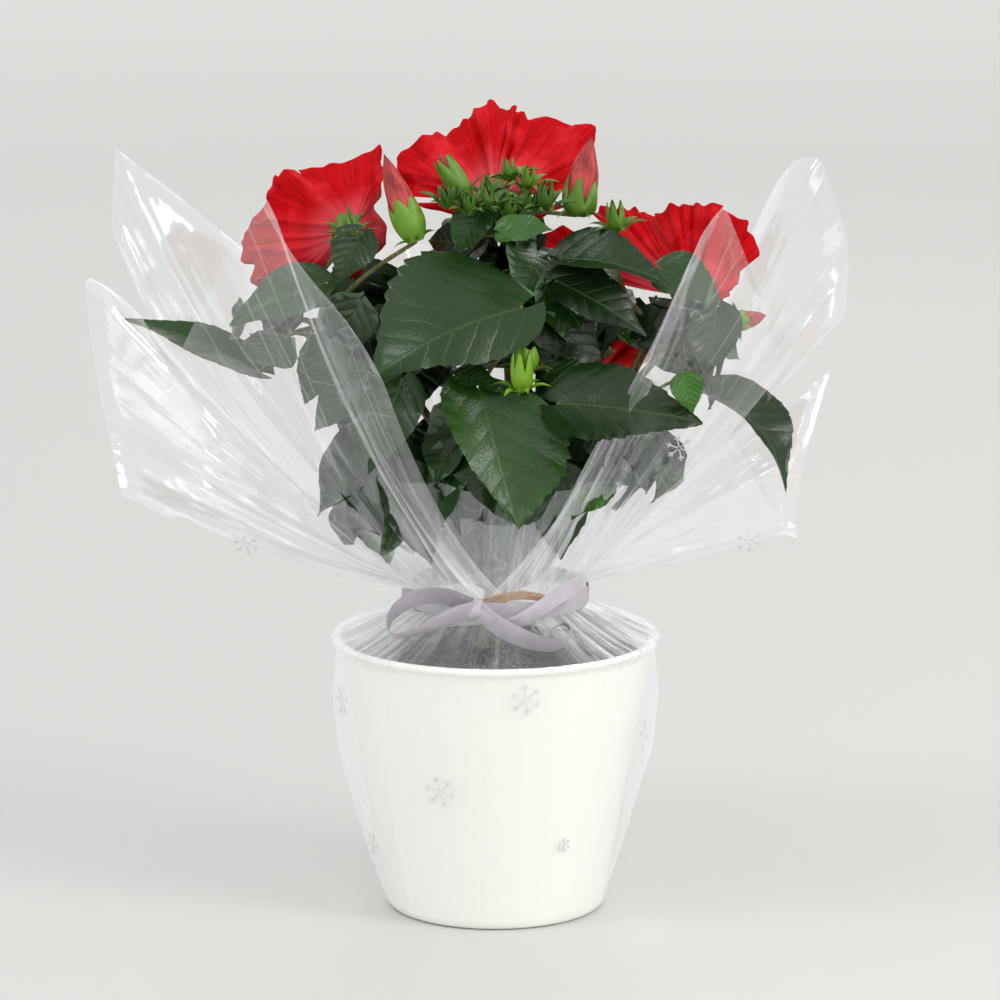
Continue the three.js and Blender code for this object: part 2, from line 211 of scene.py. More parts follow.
table_top = Finish("table_white")
table_cloudiness = table_top.grain(table_top.spot(), 0.8, 2.0)
# The table's paint is darker round the pot and paler further out: painted shade round the pot.
table_painted_shade_fade = table_top.node(
    "VectorMath", {"operation": "LENGTH"}, {0: table_top.spot()}, "Value").step(0.4, 6.0)
table_painted_shade = table_top.blend(table_cloudiness, colour(203, 202, 200), colour(208, 207, 205))
table_paint = table_top.close(table_top.shader(
    Base_Color=table_top.blend(table_painted_shade_fade, table_painted_shade, colour(232, 232, 230)),
    Roughness=0.55))

table_mesh = bpy.data.meshes.new("table_top")
half = TABLE_SIZE / 2
table_mesh.from_pydata(
    [(x, y, -TABLE_DROP) for x, y in ((-half, -half), (half, -half), (half, half), (-half, half))],
    [], [(0, 1, 2, 3)])
table_mesh.materials.append(table_paint)
table = bpy.data.objects.new("table_top", table_mesh)
scene.collection.objects.link(table)

room = bpy.data.worlds.new("room")
room.use_nodes = True
room_light = room.node_tree.nodes["Background"].inputs
room_light["Color"].default_value = (1.0, 0.995, 0.985, 1.0)
room_light["Strength"].default_value = ROOM_BRIGHTNESS
scene.world = room


def lamp(name, place, aim, width, height, power, tint):
    light = bpy.data.lights.new(name, "AREA")
    light.shape = "RECTANGLE"
    light.size, light.size_y = width, height
    light.energy = power
    light.color = tint
    holder = bpy.data.objects.new(name, light)
    holder.location = place
    holder.rotation_euler = (Vector(aim) - Vector(place)).to_track_quat("-Z", "Y").to_euler()
    holder.visible_camera = False
    scene.collection.objects.link(holder)


CROWN = (0, 0, 0.25)
lamp("lamp_right", (1.7, -1.1, 1.6), CROWN, 0.8, 0.8, 19.0, (1.0, 0.98, 0.95))
lamp("lamp_left", (-1.1, -0.8, 2.0), CROWN, 0.6, 0.6, 8.0, (0.86, 0.94, 1.0))
lamp("lamp_front", (0.5, -2.7, 1.5), CROWN, 1.5, 1.1, 12.0, (1.0, 0.99, 0.97))
lamp("lamp_back", (0.5, 2.0, 1.5), CROWN, 1.2, 0.8, 4.0, (1.0, 1.0, 1.0))

# ---- the cover pot ----
# A tapered pot of thin sheet steel, pressed and rolled over at its lip, then painted cream
# in a satin enamel. It stands on its flat underside and the plant's own pot stands in it.
POT_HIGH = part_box("pot")[1]
POT_HEIGHT = POT_HIGH.z
POT_FOOT = 0.0520
POT_MOUTH = 0.0755
POT_SHEET = 0.0012
LIP_REACH = POT_HIGH.x
LIP_ROLL = 0.0019


def solid(name, points, faces, finish, nodes=(), uv=None, marks=None, crease=50):
    """A finished piece from its points and faces, placed and named for the shrub."""
    mesh = bpy.data.meshes.new(name)
    mesh.from_pydata(np.asarray(points, float).tolist(), [], [list(f) for f in faces])
    mesh.polygons.foreach_set("use_smooth", [True] * len(mesh.polygons))
    mesh.set_sharp_from_angle(angle=math.radians(crease))
    if uv is not None:
        corner = np.zeros(len(mesh.loops), np.int32)
        mesh.loops.foreach_get("vertex_index", corner)
        layer = mesh.uv_layers.new(name="UVMap")
        layer.data.foreach_set("uv", np.asarray(uv, np.float32)[corner].ravel())
    for mark, values in (marks or {}).items():
        domain = "FACE" if len(values) == len(mesh.polygons) else "POINT"
        attribute = mesh.attributes.new(mark, "FLOAT", domain)
        attribute.data.foreach_set("value", np.asarray(values, np.float32))
    mesh.materials.append(finish)
    return piece(name, mesh, nodes)


def piece(name, mesh, nodes=()):
    made = bpy.data.objects.new(name, mesh)
    scene.collection.objects.link(made)
    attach(made, "root")
    if nodes:
        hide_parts(*nodes)
    return made


def shell(rings, closed=True):
    """Faces round a stack of rings, with a point added to close each end."""
    count, around = rings.shape[:2]
    ids = np.arange(count * around).reshape(count, around)
    after = np.roll(ids, -1, axis=1)
    faces = np.stack([ids[:-1], after[:-1], after[1:], ids[1:]], -1).reshape(-1, 4).tolist()
    points = rings.reshape(-1, 3)
    if closed:
        foot, top = len(points), len(points) + 1
        points = np.vstack([points, rings[0].mean(0), rings[-1].mean(0)])
        faces += [[foot, b, a] for a, b in zip(ids[0], after[0])]
        faces += [[top, a, b] for a, b in zip(ids[-1], after[-1])]
    return points, faces


def full_turn(count):
    return np.linspace(0, 2 * np.pi, count, endpoint=False)


def turned(profile, around=144):
    """Rings of a profile of radius and height, turned about the upright axis."""
    turn = full_turn(around)
    return np.array([
        np.stack([r * np.cos(turn), r * np.sin(turn), np.full(around, z)], -1)
        for r, z in profile])


def pot_radius(z):
    return POT_FOOT + (POT_MOUTH - POT_FOOT) * z / POT_HEIGHT


roll_centre = (LIP_REACH - LIP_ROLL, POT_HEIGHT - LIP_ROLL)
roll = [(roll_centre[0] + LIP_ROLL * math.cos(a), roll_centre[1] + LIP_ROLL * math.sin(a))
        for a in np.radians(np.linspace(-140, 165, 15))]
wall_top = roll[0][1] - 0.0004
pot_profile = (
    [(0.006, 0.0), (POT_FOOT - 0.0028, 0.0), (POT_FOOT - 0.0012, 0.0002), (POT_FOOT, 0.0014)]
    + [(pot_radius(z), z) for z in np.linspace(0.004, wall_top, 22)]
    + roll
    + [(pot_radius(z) - POT_SHEET, z) for z in np.linspace(wall_top, 0.004, 10)]
    + [(POT_FOOT - 0.004, 0.0016), (0.006, 0.0016)])
pot_points, pot_faces = shell(turned(pot_profile))

enamel = Finish("cream_enamel")
enamel_spot = enamel.spot()
enamel_flow = enamel.grain(enamel_spot, 14.0, 3.0)
enamel_speck = enamel.grain(enamel_spot, 900.0, 2.0)
enamel_shade = enamel.blend(enamel_flow, colour(246, 245, 238), colour(250, 250, 245))
enamel_shade = enamel.blend(
    enamel_speck.step(0.66, 0.72) * 0.3, enamel_shade, colour(232, 226, 204))
cream_enamel = enamel.close(enamel.shader(
    Base_Color=enamel_shade,
    Roughness=0.30 + 0.10 * enamel_flow,
    Coat_Weight=0.25, Coat_Roughness=0.12,
    Normal=enamel.bump(enamel_flow * 0.6 + enamel_speck * 0.05, 0.0004, 0.5)))
solid("pot", pot_points, pot_faces, cream_enamel, ["pot"], crease=40)

# ---- the peat ----
# Dark potting peat with fibres and crumbs, filled to just under the lip and drawn up a
# little round the stem. The crumbs lie loose on it.
PEAT_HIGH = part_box("soil")[1]
PEAT_CROWN = 0.006
PEAT_LEVEL = PEAT_HIGH.z - PEAT_CROWN
PEAT_REACH = PEAT_HIGH.x - 0.0004
PEAT_FLOOR, PEAT_BASE = 0.020, 0.050
PEAT_LUMPS = 0.0009
CRUMB_SIZE = 0.0014
CRUMBS_PER_AREA = 90000.0


def ripple(place, seed, waves=9, finest=1.0):
    """A smooth lumpy value at each point, from a few waves in seeded directions."""
    draw = np.random.default_rng(seed)
    total = np.zeros(place.shape[:-1])
    for n in range(waves):
        pull = draw.normal(size=place.shape[-1]) * finest * (1 + n * 0.6)
        total += np.sin(place @ pull + draw.uniform(0, 6.28)) / (1 + n * 0.4)
    return total / waves ** 0.5


def peat_slope(share, least, rings):
    """The heaped surface of the peat, from a share of its reach in to the stem."""
    return [(r, PEAT_LEVEL + PEAT_CROWN * 0.5 * (1 + math.cos(math.pi * r / PEAT_REACH)))
            for r in np.linspace(PEAT_REACH * share, least, rings)]


peat_profile = [(0.004, PEAT_FLOOR), (PEAT_BASE, PEAT_FLOOR), (PEAT_REACH, PEAT_LEVEL - 0.004),
                (PEAT_REACH, PEAT_LEVEL)] + peat_slope(0.98, 0.003, 40)
peat_rings = turned(peat_profile, 160)
peat_rings[4:, :, 2] += PEAT_LUMPS * ripple(peat_rings[4:, :, :2], 5, 14, 160.0)
peat_points, peat_faces = shell(peat_rings)

peat = Finish("potting_peat")
peat_spot = peat.spot()
peat_lump = peat.grain(peat_spot, 260.0, 6.0, 0.7)
peat_fibre = peat.grain(peat.stretched(peat_spot, (1.0, 5.0, 2.0)), 420.0, 2.0)
peat_shade = peat.blend(peat_lump.step(0.3, 0.75), colour(28, 23, 19), colour(84, 70, 56))
peat_shade = peat.blend(peat_fibre.step(0.58, 0.66) * 0.8, peat_shade, colour(168, 150, 118))
potting_peat = peat.close(peat.shader(
    Base_Color=peat_shade, Roughness=0.95,
    Normal=peat.bump(peat_lump + peat_fibre * 0.4, 0.0012)))
solid("peat", peat_points, peat_faces, potting_peat, ["soil"])


class Growth:
    """A Geometry Nodes tree, built node by node, with named inputs for its sizes."""

    def __init__(self, name, sizes):
        self.tree = bpy.data.node_groups.new(name, "GeometryNodeTree")
        self.tree.interface.new_socket("Geometry", in_out="INPUT",
                                       socket_type="NodeSocketGeometry")
        self.ids = {}
        for size, kind in sizes.items():
            made = self.tree.interface.new_socket(size, in_out="INPUT", socket_type=kind)
            self.ids[size] = made.identifier
        self.tree.interface.new_socket("Geometry", in_out="OUTPUT",
                                       socket_type="NodeSocketGeometry")
        self.start = self.tree.nodes.new("NodeGroupInput")

    def size(self, name):
        return next(s for s in self.start.outputs if s.name == name)

    def node(self, kind, settings=None, sockets=None, output=0):
        return placed(self.tree, kind, settings, sockets).outputs[output]

    def grown(self, name, carrier, material, **sizes):
        """The tree's result on a carrier mesh, as a plain mesh."""
        end = self.tree.nodes.new("NodeGroupOutput")
        real = self.node("GeometryNodeRealizeInstances", {}, {"Geometry": self.last})
        painted = self.node(
            "GeometryNodeSetMaterial", {}, {"Geometry": real, "Material": material})
        self.tree.links.new(end.inputs[0], painted)
        holder = bpy.data.objects.new(name + "_carrier", carrier)
        scene.collection.objects.link(holder)
        modifier = holder.modifiers.new(name, "NODES")
        modifier.node_group = self.tree
        for size, value in sizes.items():
            modifier[self.ids[size]] = value
        seen = holder.evaluated_get(bpy.context.evaluated_depsgraph_get())
        mesh = bpy.data.meshes.new_from_object(seen)
        holder.modifiers.remove(modifier)
        bpy.data.objects.remove(holder)
        mesh.name = name
        mesh.materials.clear()
        mesh.materials.append(material)
        mesh.polygons.foreach_set("use_smooth", [True] * len(mesh.polygons))
        return mesh


peat_top = bpy.data.meshes.new("peat_top")
top_points, top_faces = shell(turned(peat_slope(0.97, 0.004, 12), 48), False)
peat_top.from_pydata(top_points.tolist(), [], top_faces)

crumbs = Growth("loose_crumbs", {
    "Crumb size": "NodeSocketFloat", "Crumbs": "NodeSocketFloat", "Seed": "NodeSocketInt"})
crumb_spots = crumbs.node("GeometryNodeDistributePointsOnFaces", {}, {
    "Mesh": crumbs.size("Geometry"), "Density": crumbs.size("Crumbs"),
    "Seed": crumbs.size("Seed")})
crumb_shape = crumbs.node("GeometryNodeMeshIcoSphere", {}, {
    "Radius": crumbs.size("Crumb size"), "Subdivisions": 1})
crumb_stretch = crumbs.node("FunctionNodeRandomValue", {"data_type": "FLOAT_VECTOR"}, {
    "Min": (0.4, 0.4, 0.25), "Max": (1.9, 1.1, 0.8)})
crumb_turn = crumbs.node("FunctionNodeRandomValue", {"data_type": "FLOAT_VECTOR"}, {
    "Max": (0.7, 0.7, 6.28)})
crumbs.last = crumbs.node("GeometryNodeInstanceOnPoints", {}, {
    "Points": crumb_spots, "Instance": crumb_shape,
    "Rotation": crumb_turn, "Scale": crumb_stretch})
piece("peat_crumbs", crumbs.grown("peat_crumbs", peat_top, potting_peat, **{
    "Crumb size": CRUMB_SIZE, "Crumbs": CRUMBS_PER_AREA, "Seed": 4}))

# ---- trunk, boughs and twigs ----
# One short woody trunk, grey-brown with fine cracks and pores, that forks low and often.
# The boughs and twigs grow on from it by a seeded rule, each thinner and greener than the
# last, and each ends among the leaves that it carries.
TRUNK_LOW, TRUNK_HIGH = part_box("trunk")
TRUNK_RADIUS, TRUNK_TIP = 0.0058, 0.0047
ROOT_FLARE, FLARE_HEIGHT = 0.6, 0.006
FORK = Vector((0.003, 0.002, TRUNK_HIGH.z))
BOUGH_RADIUS, BOUGH_TIP = 0.0036, 0.0013
SIDE_LIMB_RADIUS, SIDE_LIMB_TIP = 0.0022, 0.0012
TWIG_RADIUS = 0.0011
UP = np.array([0.0, 0.0, 1.0])


def unit(way):
    way = np.asarray(way, float)
    return way / max(np.linalg.norm(way), 1e-9)


def curve(points, count):
    """A smooth line of a number of points through a few given ones."""
    points = np.asarray(points, float)
    padded = np.vstack([2 * points[0] - points[1], points, 2 * points[-1] - points[-2]])
    spans = len(points) - 1
    line = []
    for t in np.linspace(0, spans, count):
        k = min(int(t), spans - 1)
        f = t - k
        a, b, c, d = padded[k:k + 4]
        line.append(0.5 * (2 * b + (c - a) * f + (2 * a - 5 * b + 4 * c - d) * f * f
                           + (3 * b - a - 3 * c + d) * f ** 3))
    return np.array(line)


def limb(points, foot, tip, sides=8, steps=14, relief=0.0, seed=0):
    """A tapering limb along a smooth line, with bark relief as a share of its radius."""
    line = curve(points, steps)
    way = np.gradient(line, axis=0)
    side = unit(np.cross(way[0], (0.3, 1.0, 0.2)))
    turn = full_turn(sides)
    rings = []
    for i, (spot, along) in enumerate(zip(line, way)):
        along = unit(along)
        side = unit(side - along * (side @ along))
        over = np.cross(along, side)
        share = i / (steps - 1)
        radius = np.full(sides, foot + (tip - foot) * share)
        if relief:
            around = np.stack([np.cos(turn) * 2.2, np.sin(turn) * 2.2,
                               np.full(sides, share * steps * 0.16)], -1)
            radius *= 1 + relief * ripple(around, seed, 12, 1.6)
        rings.append(spot + radius[:, None] * (
            np.cos(turn)[:, None] * side + np.sin(turn)[:, None] * over))
    return shell(np.array(rings))


class Heap:
    """Many small shapes of one kind, gathered into one mesh."""

    def __init__(self):
        self.points, self.faces, self.uv, self.marks, self.count = [], [], [], {}, 0

    def add(self, points, faces, uv=None, **marks):
        self.faces += [[i + self.count for i in face] for face in faces]
        self.points.append(np.asarray(points, float))
        self.uv.append(np.zeros((len(points), 2)) if uv is None else uv)
        self.count += len(points)
        for name, value in marks.items():
            spread = np.broadcast_to(value, len(faces))
            self.marks.setdefault(name, []).append(spread)

    def solid(self, name, finish, slot, nodes=(), crease=50):
        return solid(
            name, np.vstack(self.points), self.faces, finish, nodes,
            np.vstack(self.uv), {k: np.concatenate(v) for k, v in self.marks.items()}, crease)


bark = Finish("bark")
bark_spot = bark.spot()
bark_age = bark.mark("age")
bark_streak = bark.grain(bark.stretched(bark_spot, (6.0, 6.0, 1.0)), 190.0, 4.0)
bark_pore = bark.node("TexVoronoi", {}, {"Vector": bark_spot, "Scale": 420.0}, "Distance")
old_bark = bark.blend(bark_streak.step(0.3, 0.7), colour(78, 68, 48), colour(139, 124, 96))
old_bark = bark.blend(bark_pore.step(0.22, 0.12) * 0.6, old_bark, colour(176, 164, 138))
young_bark = bark.blend(bark_streak.step(0.3, 0.7), colour(84, 84, 40), colour(128, 122, 70))
shrub_bark = bark.close(bark.shader(
    Base_Color=bark.blend(bark_age, young_bark, old_bark),
    Roughness=0.62 + 0.25 * bark_age,
    Normal=bark.bump(bark_streak + bark_pore * 0.3, 0.0006, 0.8)))

wood = Heap()
trunk_line = [(-0.002, 0, TRUNK_LOW.z - 0.006), (-0.001, 0, TRUNK_LOW.z + 0.018),
              (0.002, 0.001, TRUNK_LOW.z + 0.036), tuple(FORK + Vector((0, 0, 0.004)))]
trunk_rings, trunk_faces = limb(trunk_line, TRUNK_RADIUS, TRUNK_TIP, 28, 48, 0.085, 3)
flare = np.exp(-np.clip(trunk_rings[:, 2] - TRUNK_LOW.z + 0.004, 0, None) / FLARE_HEIGHT)
trunk_rings[:, :2] *= 1 + ROOT_FLARE * flare[:, None]
wood.add(trunk_rings, trunk_faces, age=1.0)


def centre_of(node):
    low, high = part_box(node)
    return np.array((low + high) / 2), np.array((high - low) / 2)


BOUGHS = {
    "bough_centre": ["leaves_centre_high", "leaves_front_low", "leaves_top"],
    "bough_left": ["leaves_left_high", "leaves_left_low"],
    "bough_right": ["leaves_right_high", "leaves_right_low"],
    "bough_back_left": ["leaves_back_left"],
    "bough_back_right": ["leaves_back_right", "leaves_back_low"],
}
fork = np.array(FORK)
carriers = {}
for number, carried in enumerate(BOUGHS.values()):
    goal, _ = centre_of(carried[0])
    elbow = fork + (goal - fork) * np.array([0.42, 0.42, 0.36]) + UP * 0.006
    main = curve([fork, elbow, fork + (goal - fork) * 0.78, goal], 24)
    wood.add(*limb(main[::3], BOUGH_RADIUS - 0.0002 * number, BOUGH_TIP, 12, 30, 0.07, number),
             age=0.7)
    carriers[carried[0]] = main
    for mass in carried[1:]:
        goal, _ = centre_of(mass)
        root = main[9]
        bend = root + (goal - root) * 0.5 + unit(main[10] - main[8]) * 0.008
        side_limb = curve([root, bend, goal], 20)
        wood.add(*limb(side_limb[::3], SIDE_LIMB_RADIUS, SIDE_LIMB_TIP, 10, 20, 0.05, number + 9),
                 age=0.45)
        carriers[mass] = side_limb

# ---- leaves ----
# Oval leaves with a heart-shaped foot and coarse teeth, dark and glossy above and paler
# below, on short stalks. They stand round each twig in turn and droop at their tips.
LEAF_HALF = 0.00014
TOOTH_DEPTH, TOOTH_LEAN = 0.065, 0.014
BLADE_STEPS = np.array([0, 0.03, 0.09, 0.18, 0.30, 0.42, 0.56, 0.70, 0.82, 0.91, 1.0])
BLADE_WIDTHS = np.array([0.10, 0.50, 0.82, 0.98, 1.0, 0.95, 0.80, 0.56, 0.32, 0.15, 0.0])


def sheet_map(across, out, shape):
    """A map for a grid of points, from its columns' and its rows' places on it."""
    return np.stack([np.broadcast_to(across, shape), np.broadcast_to(out, shape)], -1)


def normals(grid):
    """The way that a grid of points faces, at each of them."""
    normal = np.cross(np.gradient(grid, axis=1), np.gradient(grid, axis=0))
    return normal / np.maximum(np.linalg.norm(normal, axis=-1, keepdims=True), 1e-12)


def sheet(grid, half, uv):
    """A thin closed sheet round a grid of points. Its two sides meet along the rim."""
    rows, cols = grid.shape[:2]
    normal = normals(grid)
    front = np.arange(rows * cols).reshape(rows, cols)
    back = front.copy()
    inner = (slice(1, -1), slice(1, -1))
    back[inner] = rows * cols + np.arange((rows - 2) * (cols - 2)).reshape(rows - 2, cols - 2)
    top = grid.copy()
    top[inner] += half * normal[inner]
    under = (grid - half * normal)[inner].reshape(-1, 3)

    def quads(ids):
        corners = [ids[:-1, :-1], ids[:-1, 1:], ids[1:, 1:], ids[1:, :-1]]
        return np.stack(corners, -1).reshape(-1, 4)

    faces = np.vstack([quads(front), quads(back)[:, ::-1]])
    points = np.vstack([top.reshape(-1, 3), under])
    uv = np.vstack([uv.reshape(-1, 2), uv[inner].reshape(-1, 2)])
    side = np.repeat([0.0, 1.0], len(faces) // 2)
    return points, faces.tolist(), uv, side


def blade(stalk, tip, face, width, rows=10, cols=5, droop=0.12, cup=0.22, waves=0.05,
          teeth=5, heart=0.10, curl=0.0, seed=0, skew=0.0, shear=0.0):
    """A leaf from its stalk to its tip, with its upper side the way that face points. Skew
    widens one half of it, and shear slides that half towards the tip."""
    draw = np.random.default_rng(seed)
    stalk, tip = np.asarray(stalk, float), np.asarray(tip, float)
    along = tip - stalk
    length = np.linalg.norm(along)
    along = along / length
    across = unit(np.cross(along, face))
    over = np.cross(across, along)
    t = np.linspace(0, 1, rows)[:, None]
    s = np.linspace(-1, 1, cols)[None, :]
    half = 0.5 * width * np.interp(t, BLADE_STEPS, BLADE_WIDTHS)
    phase = draw.uniform(0, 6.28, 3)
    tooth = ((t * teeth + 0.22 * np.sin(t * 14 + phase[1] + s)) % 1.0) * (t > 0.12) * (t < 0.97)
    edge = np.abs(s) ** 5
    x = s * half * (1 + TOOTH_DEPTH * edge * (tooth - 0.4)) * (1 + skew * np.sign(s))
    notch = heart * np.abs(s) ** 1.4 * (1 - t) ** 5
    y = length * (t - notch + TOOTH_LEAN * edge * tooth) + shear * x
    lift = cup * half * np.abs(s) ** 1.3
    lift = lift + length * droop * (np.sin(np.pi * t * 0.9) - 0.35 * t)
    lift = lift + waves * width * s ** 2 * np.sin(t * 11 + phase[0] + 1.7 * np.sign(s))
    lift = lift + curl * half * np.sign(s) * s ** 2 * np.sin(t * 2.6 + 0.4)
    grid = stalk + x[..., None] * across + y[..., None] * along + lift[..., None] * over
    return sheet(grid, LEAF_HALF, sheet_map(0.5 + x / length, y / length, x.shape))


leaf = Finish("glossy_leaf")
leaf_tint = leaf.mark("tint")
leaf_under = leaf.mark("under")
leaf_across, leaf_along = leaf.unwrapped()
leaf_across = (leaf_across - 0.5).size()
leaf_place = leaf.spot()
leaf_cloud = leaf.grain(leaf_place, 55.0, 3.0)
rib_phase = (leaf_along - leaf_across * 0.95 + leaf_cloud * 0.10) * 6.0
rib_offset = (rib_phase.math("FRACT", rib_phase) - 0.5).size()
side_rib = rib_offset.step(0.44, 0.49) * leaf_across.step(0.40, 0.02)
mid_rib = leaf_across.step(0.014, 0.005)
rib = leaf.node("Math", {"operation": "MAXIMUM"}, {0: side_rib * 0.45, 1: mid_rib})
quilt = 1 - (rib_offset * 2.0) ** 2.0
leaf_vein = leaf.node(
    "TexVoronoi", {"feature": "DISTANCE_TO_EDGE"}, {"Vector": leaf_place, "Scale": 420.0},
    "Distance")
leaf_shade = leaf.blend(leaf_tint, colour(10, 26, 5), colour(48, 98, 16))
leaf_shade = leaf.blend(leaf_cloud.step(0.35, 0.7) * 0.5, leaf_shade, colour(20, 47, 10))
leaf_shade = leaf.blend(rib * 0.16, leaf_shade, colour(84, 122, 54))
under_shade = leaf.blend(rib * 0.6, colour(84, 108, 82), colour(132, 150, 112))
leaf_shade = leaf.blend(leaf_under * 0.8, leaf_shade, under_shade)
leaf_relief = quilt * 0.22 - rib * 0.18 + leaf_cloud * 0.9 + leaf_vein.step(0.0, 0.25) * 0.05
glossy_leaf = leaf.close(leaf.shader(
    Base_Color=leaf_shade,
    Roughness=0.22 + 0.18 * leaf_cloud + 0.25 * leaf_under, Specular_IOR_Level=0.42,
    Normal=leaf.bump(leaf_relief, 0.0010, 0.8)))

twigs, stalks = Heap(), Heap()


def nearest(points, spot):
    return points[int(np.argmin(np.linalg.norm(points - spot, axis=1)))]


def stalk_to(held, joint, rise, foot, tip, sides, steps):
    """A green stalk from where it is held to a joint, arched up a little half way."""
    stalks.add(*limb([held, (held + joint) / 2 + UP * rise, joint], foot, tip, sides, steps),
               age=0.0)


# how many leaves each mass carries, and how long they are
MASSES = {
    "leaves_left_low": (17, 0.046),
    "leaves_left_high": (10, 0.038),
    "leaves_front_low": (18, 0.042),
    "leaves_centre_high": (30, 0.046),
    "leaves_right_high": (12, 0.040),
    "leaves_right_low": (18, 0.042),
    "leaves_back_left": (26, 0.052),
    "leaves_back_right": (26, 0.052),
    "leaves_back_low": (20, 0.046),
    "leaves_top": (16, 0.030),
}
# an opening low on the right that runs from front to back, where few leaves grew: its place
# at the axis, how it climbs towards the back, and how wide it is
OPENING = np.array([0.064, 0.0, 0.262])
OPENING_WAY = np.array([0.0, 0.98, -0.19])
OPENING_REACH = 0.019
# how far a mass has sunk under its own flowers
DROOP = {"leaves_left_high": 0.006, "leaves_right_high": 0.005}
TURN = math.radians(137.5)


def around_mass(count, draw):
    """Ways out of a mass, spread evenly in a spiral from its top to its underside."""
    ways = []
    for k in range(count):
        height = 1 - 2 * (k + 0.5) / count
        swing = k * TURN + draw.uniform(-0.3, 0.3)
        level = math.sqrt(1 - height * height)
        ways.append(np.array([level * math.cos(swing), level * math.sin(swing), height]))
    return ways


for number, (mass, (leaf_count, leaf_length)) in enumerate(MASSES.items()):
    draw = np.random.default_rng(40 + number)
    centre, radii = centre_of(mass)
    centre = centre - UP * DROOP.get(mass, 0.0)
    carrier = carriers[mass]
    twig_lines = []
    for way in around_mass(max(4, leaf_count // 4), draw):
        goal = centre + radii * way * 0.55
        start = carrier[int(draw.integers(len(carrier) * 5 // 10, len(carrier) - 1))]
        bend = start + (goal - start) * 0.5 + UP * 0.005 + draw.normal(0, 0.003, 3)
        twigs.add(*limb([start, bend, goal], TWIG_RADIUS * 1.3, TWIG_RADIUS * 0.7, 7, 10),
                  age=0.2)
        twig_lines.append(curve([start, bend, goal], 12)[3:])
    nodes_on_twigs = np.vstack(twig_lines)
    spray = Heap()
    for way in around_mass(leaf_count, draw):
        middle = centre + radii * way * draw.uniform(0.45, 0.88)
        if np.linalg.norm(np.cross(middle - OPENING, OPENING_WAY)) < OPENING_REACH:
            continue
        from_axis = unit([middle[0], middle[1], 0.0])
        face = unit(way / radii * radii.mean() + UP * 0.6 + from_axis * 0.3
                    + draw.normal(0, 0.28, 3))
        fall = from_axis * 0.5 - UP * 0.45 + way * 0.3 + draw.normal(0, 0.4, 3)
        run = unit(fall - face * (fall @ face))
        size = leaf_length * draw.uniform(0.62, 1.12)
        joint = middle - run * size * 0.5
        stalk_to(nearest(nodes_on_twigs, joint), joint, 0.002, 0.0009, 0.0007, 5, 6)
        points, faces, uv, side = blade(
            joint, joint + run * size, face, size * draw.uniform(0.66, 0.84), 12, 5,
            draw.uniform(0.05, 0.16), draw.uniform(0.12, 0.34), draw.uniform(0.02, 0.07),
            seed=int(draw.integers(1 << 30)))
        spray.add(points, faces, uv, under=side, tint=draw.uniform(0.0, 0.45) ** 1.2)
    spray.solid(mass, glossy_leaf, "leaf", [mass])

# ---- the large leaves ----
# The big leaves that stand clear of the crown and make its outline. Each is one toothed blade
# with its own fold, droop and tint, on a stalk from the nearest limb.


def inside(node, x, y, z):
    """A point at shares of a node's box."""
    low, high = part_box(node)
    return np.array([low.x + (high.x - low.x) * x, low.y + (high.y - low.y) * y,
                     low.z + (high.z - low.z) * z])


# node: stalk, tip (shares of its box), face, width, tint, droop, cup, curl, heart, skew, shear
LARGE = {
    "leaf_front_high": ((0.91, 0.82, 0.50), (0.01, 0.42, 0.03), (-0.45, -0.80, 0.42),
                        0.070, 0.22, 0.12, -0.18, -0.06, 0.14, 0.43, 0.12),
    "leaf_front_low": ((0.30, 0.98, 0.87), (0.59, 0.08, 0.0), (0.1, -0.92, 0.40),
                       0.053, 0.45, 0.03, 0.20, 0.10, 0.12, -0.25, -0.42),
    "leaf_right_low": ((0.02, 0.25, 0.44), (1.0, 0.05, 0.14), (0.0, -0.74, 0.66),
                       0.050, 0.10, 0.06, 0.20, 0.30, 0.12, 0.0, 0.0),
    "leaf_far_right": ((0.04, 0.78, 0.94), (0.88, 0.38, 0.0), (0.62, -0.35, 0.70),
                       0.044, 0.12, 0.20, 0.42, 0.0, 0.10, 0.0, 0.0),
    "leaf_upper_right": ((0.01, 0.75, 0.45), (0.99, 0.33, 0.05), (0.1, -0.6, 0.8),
                         0.034, 0.15, 0.12, 0.50, 0.2, 0.10, 0.0, 0.0),
    "leaf_far_left": ((0.99, 0.46, 0.04), (0.0, 0.74, 0.95), (0.1, -0.45, 0.9),
                      0.026, 0.35, 0.06, 0.20, 0.0, 0.10, 0.0, 0.0),
    "leaf_back_left": ((0.82, 0.15, 0.58), (0.04, 0.80, 0.0), (-0.3, 0.8, 0.5),
                       0.056, 0.30, 0.08, 0.15, 0.0, 0.14, 0.1, 0.1),
    "leaf_back_right": ((0.23, 0.20, 0.97), (0.80, 0.71, 0.01), (0.5, 0.7, 0.5),
                        0.048, 0.30, 0.08, 0.15, 0.0, 0.14, 0.0, 0.1),
}
HELD_BY = {
    "leaf_front_high": "leaves_centre_high", "leaf_front_low": "leaves_centre_high",
    "leaf_right_low": "leaves_right_low", "leaf_far_right": "leaves_right_high",
    "leaf_upper_right": "leaves_right_high", "leaf_far_left": "leaves_left_high",
    "leaf_back_left": "leaves_back_left", "leaf_back_right": "leaves_back_right",
}
for number, (node, form) in enumerate(LARGE.items()):
    foot, tip, face, width, tint, droop, cup, curl, heart, skew, shear = form
    joint, point = inside(node, *foot), inside(node, *tip)
    stalk_to(nearest(carriers[HELD_BY[node]], joint), joint, 0.006, 0.0013, 0.0009, 7, 14)
    points, faces, uv, side = blade(
        joint, point, face, width, 46, 17, droop, cup, 0.025, 11, heart, curl, 70 + number,
        skew, shear)
    solid(node, points, faces, glossy_leaf, [node], uv,
          {"under": side, "tint": np.full(len(faces), tint)})

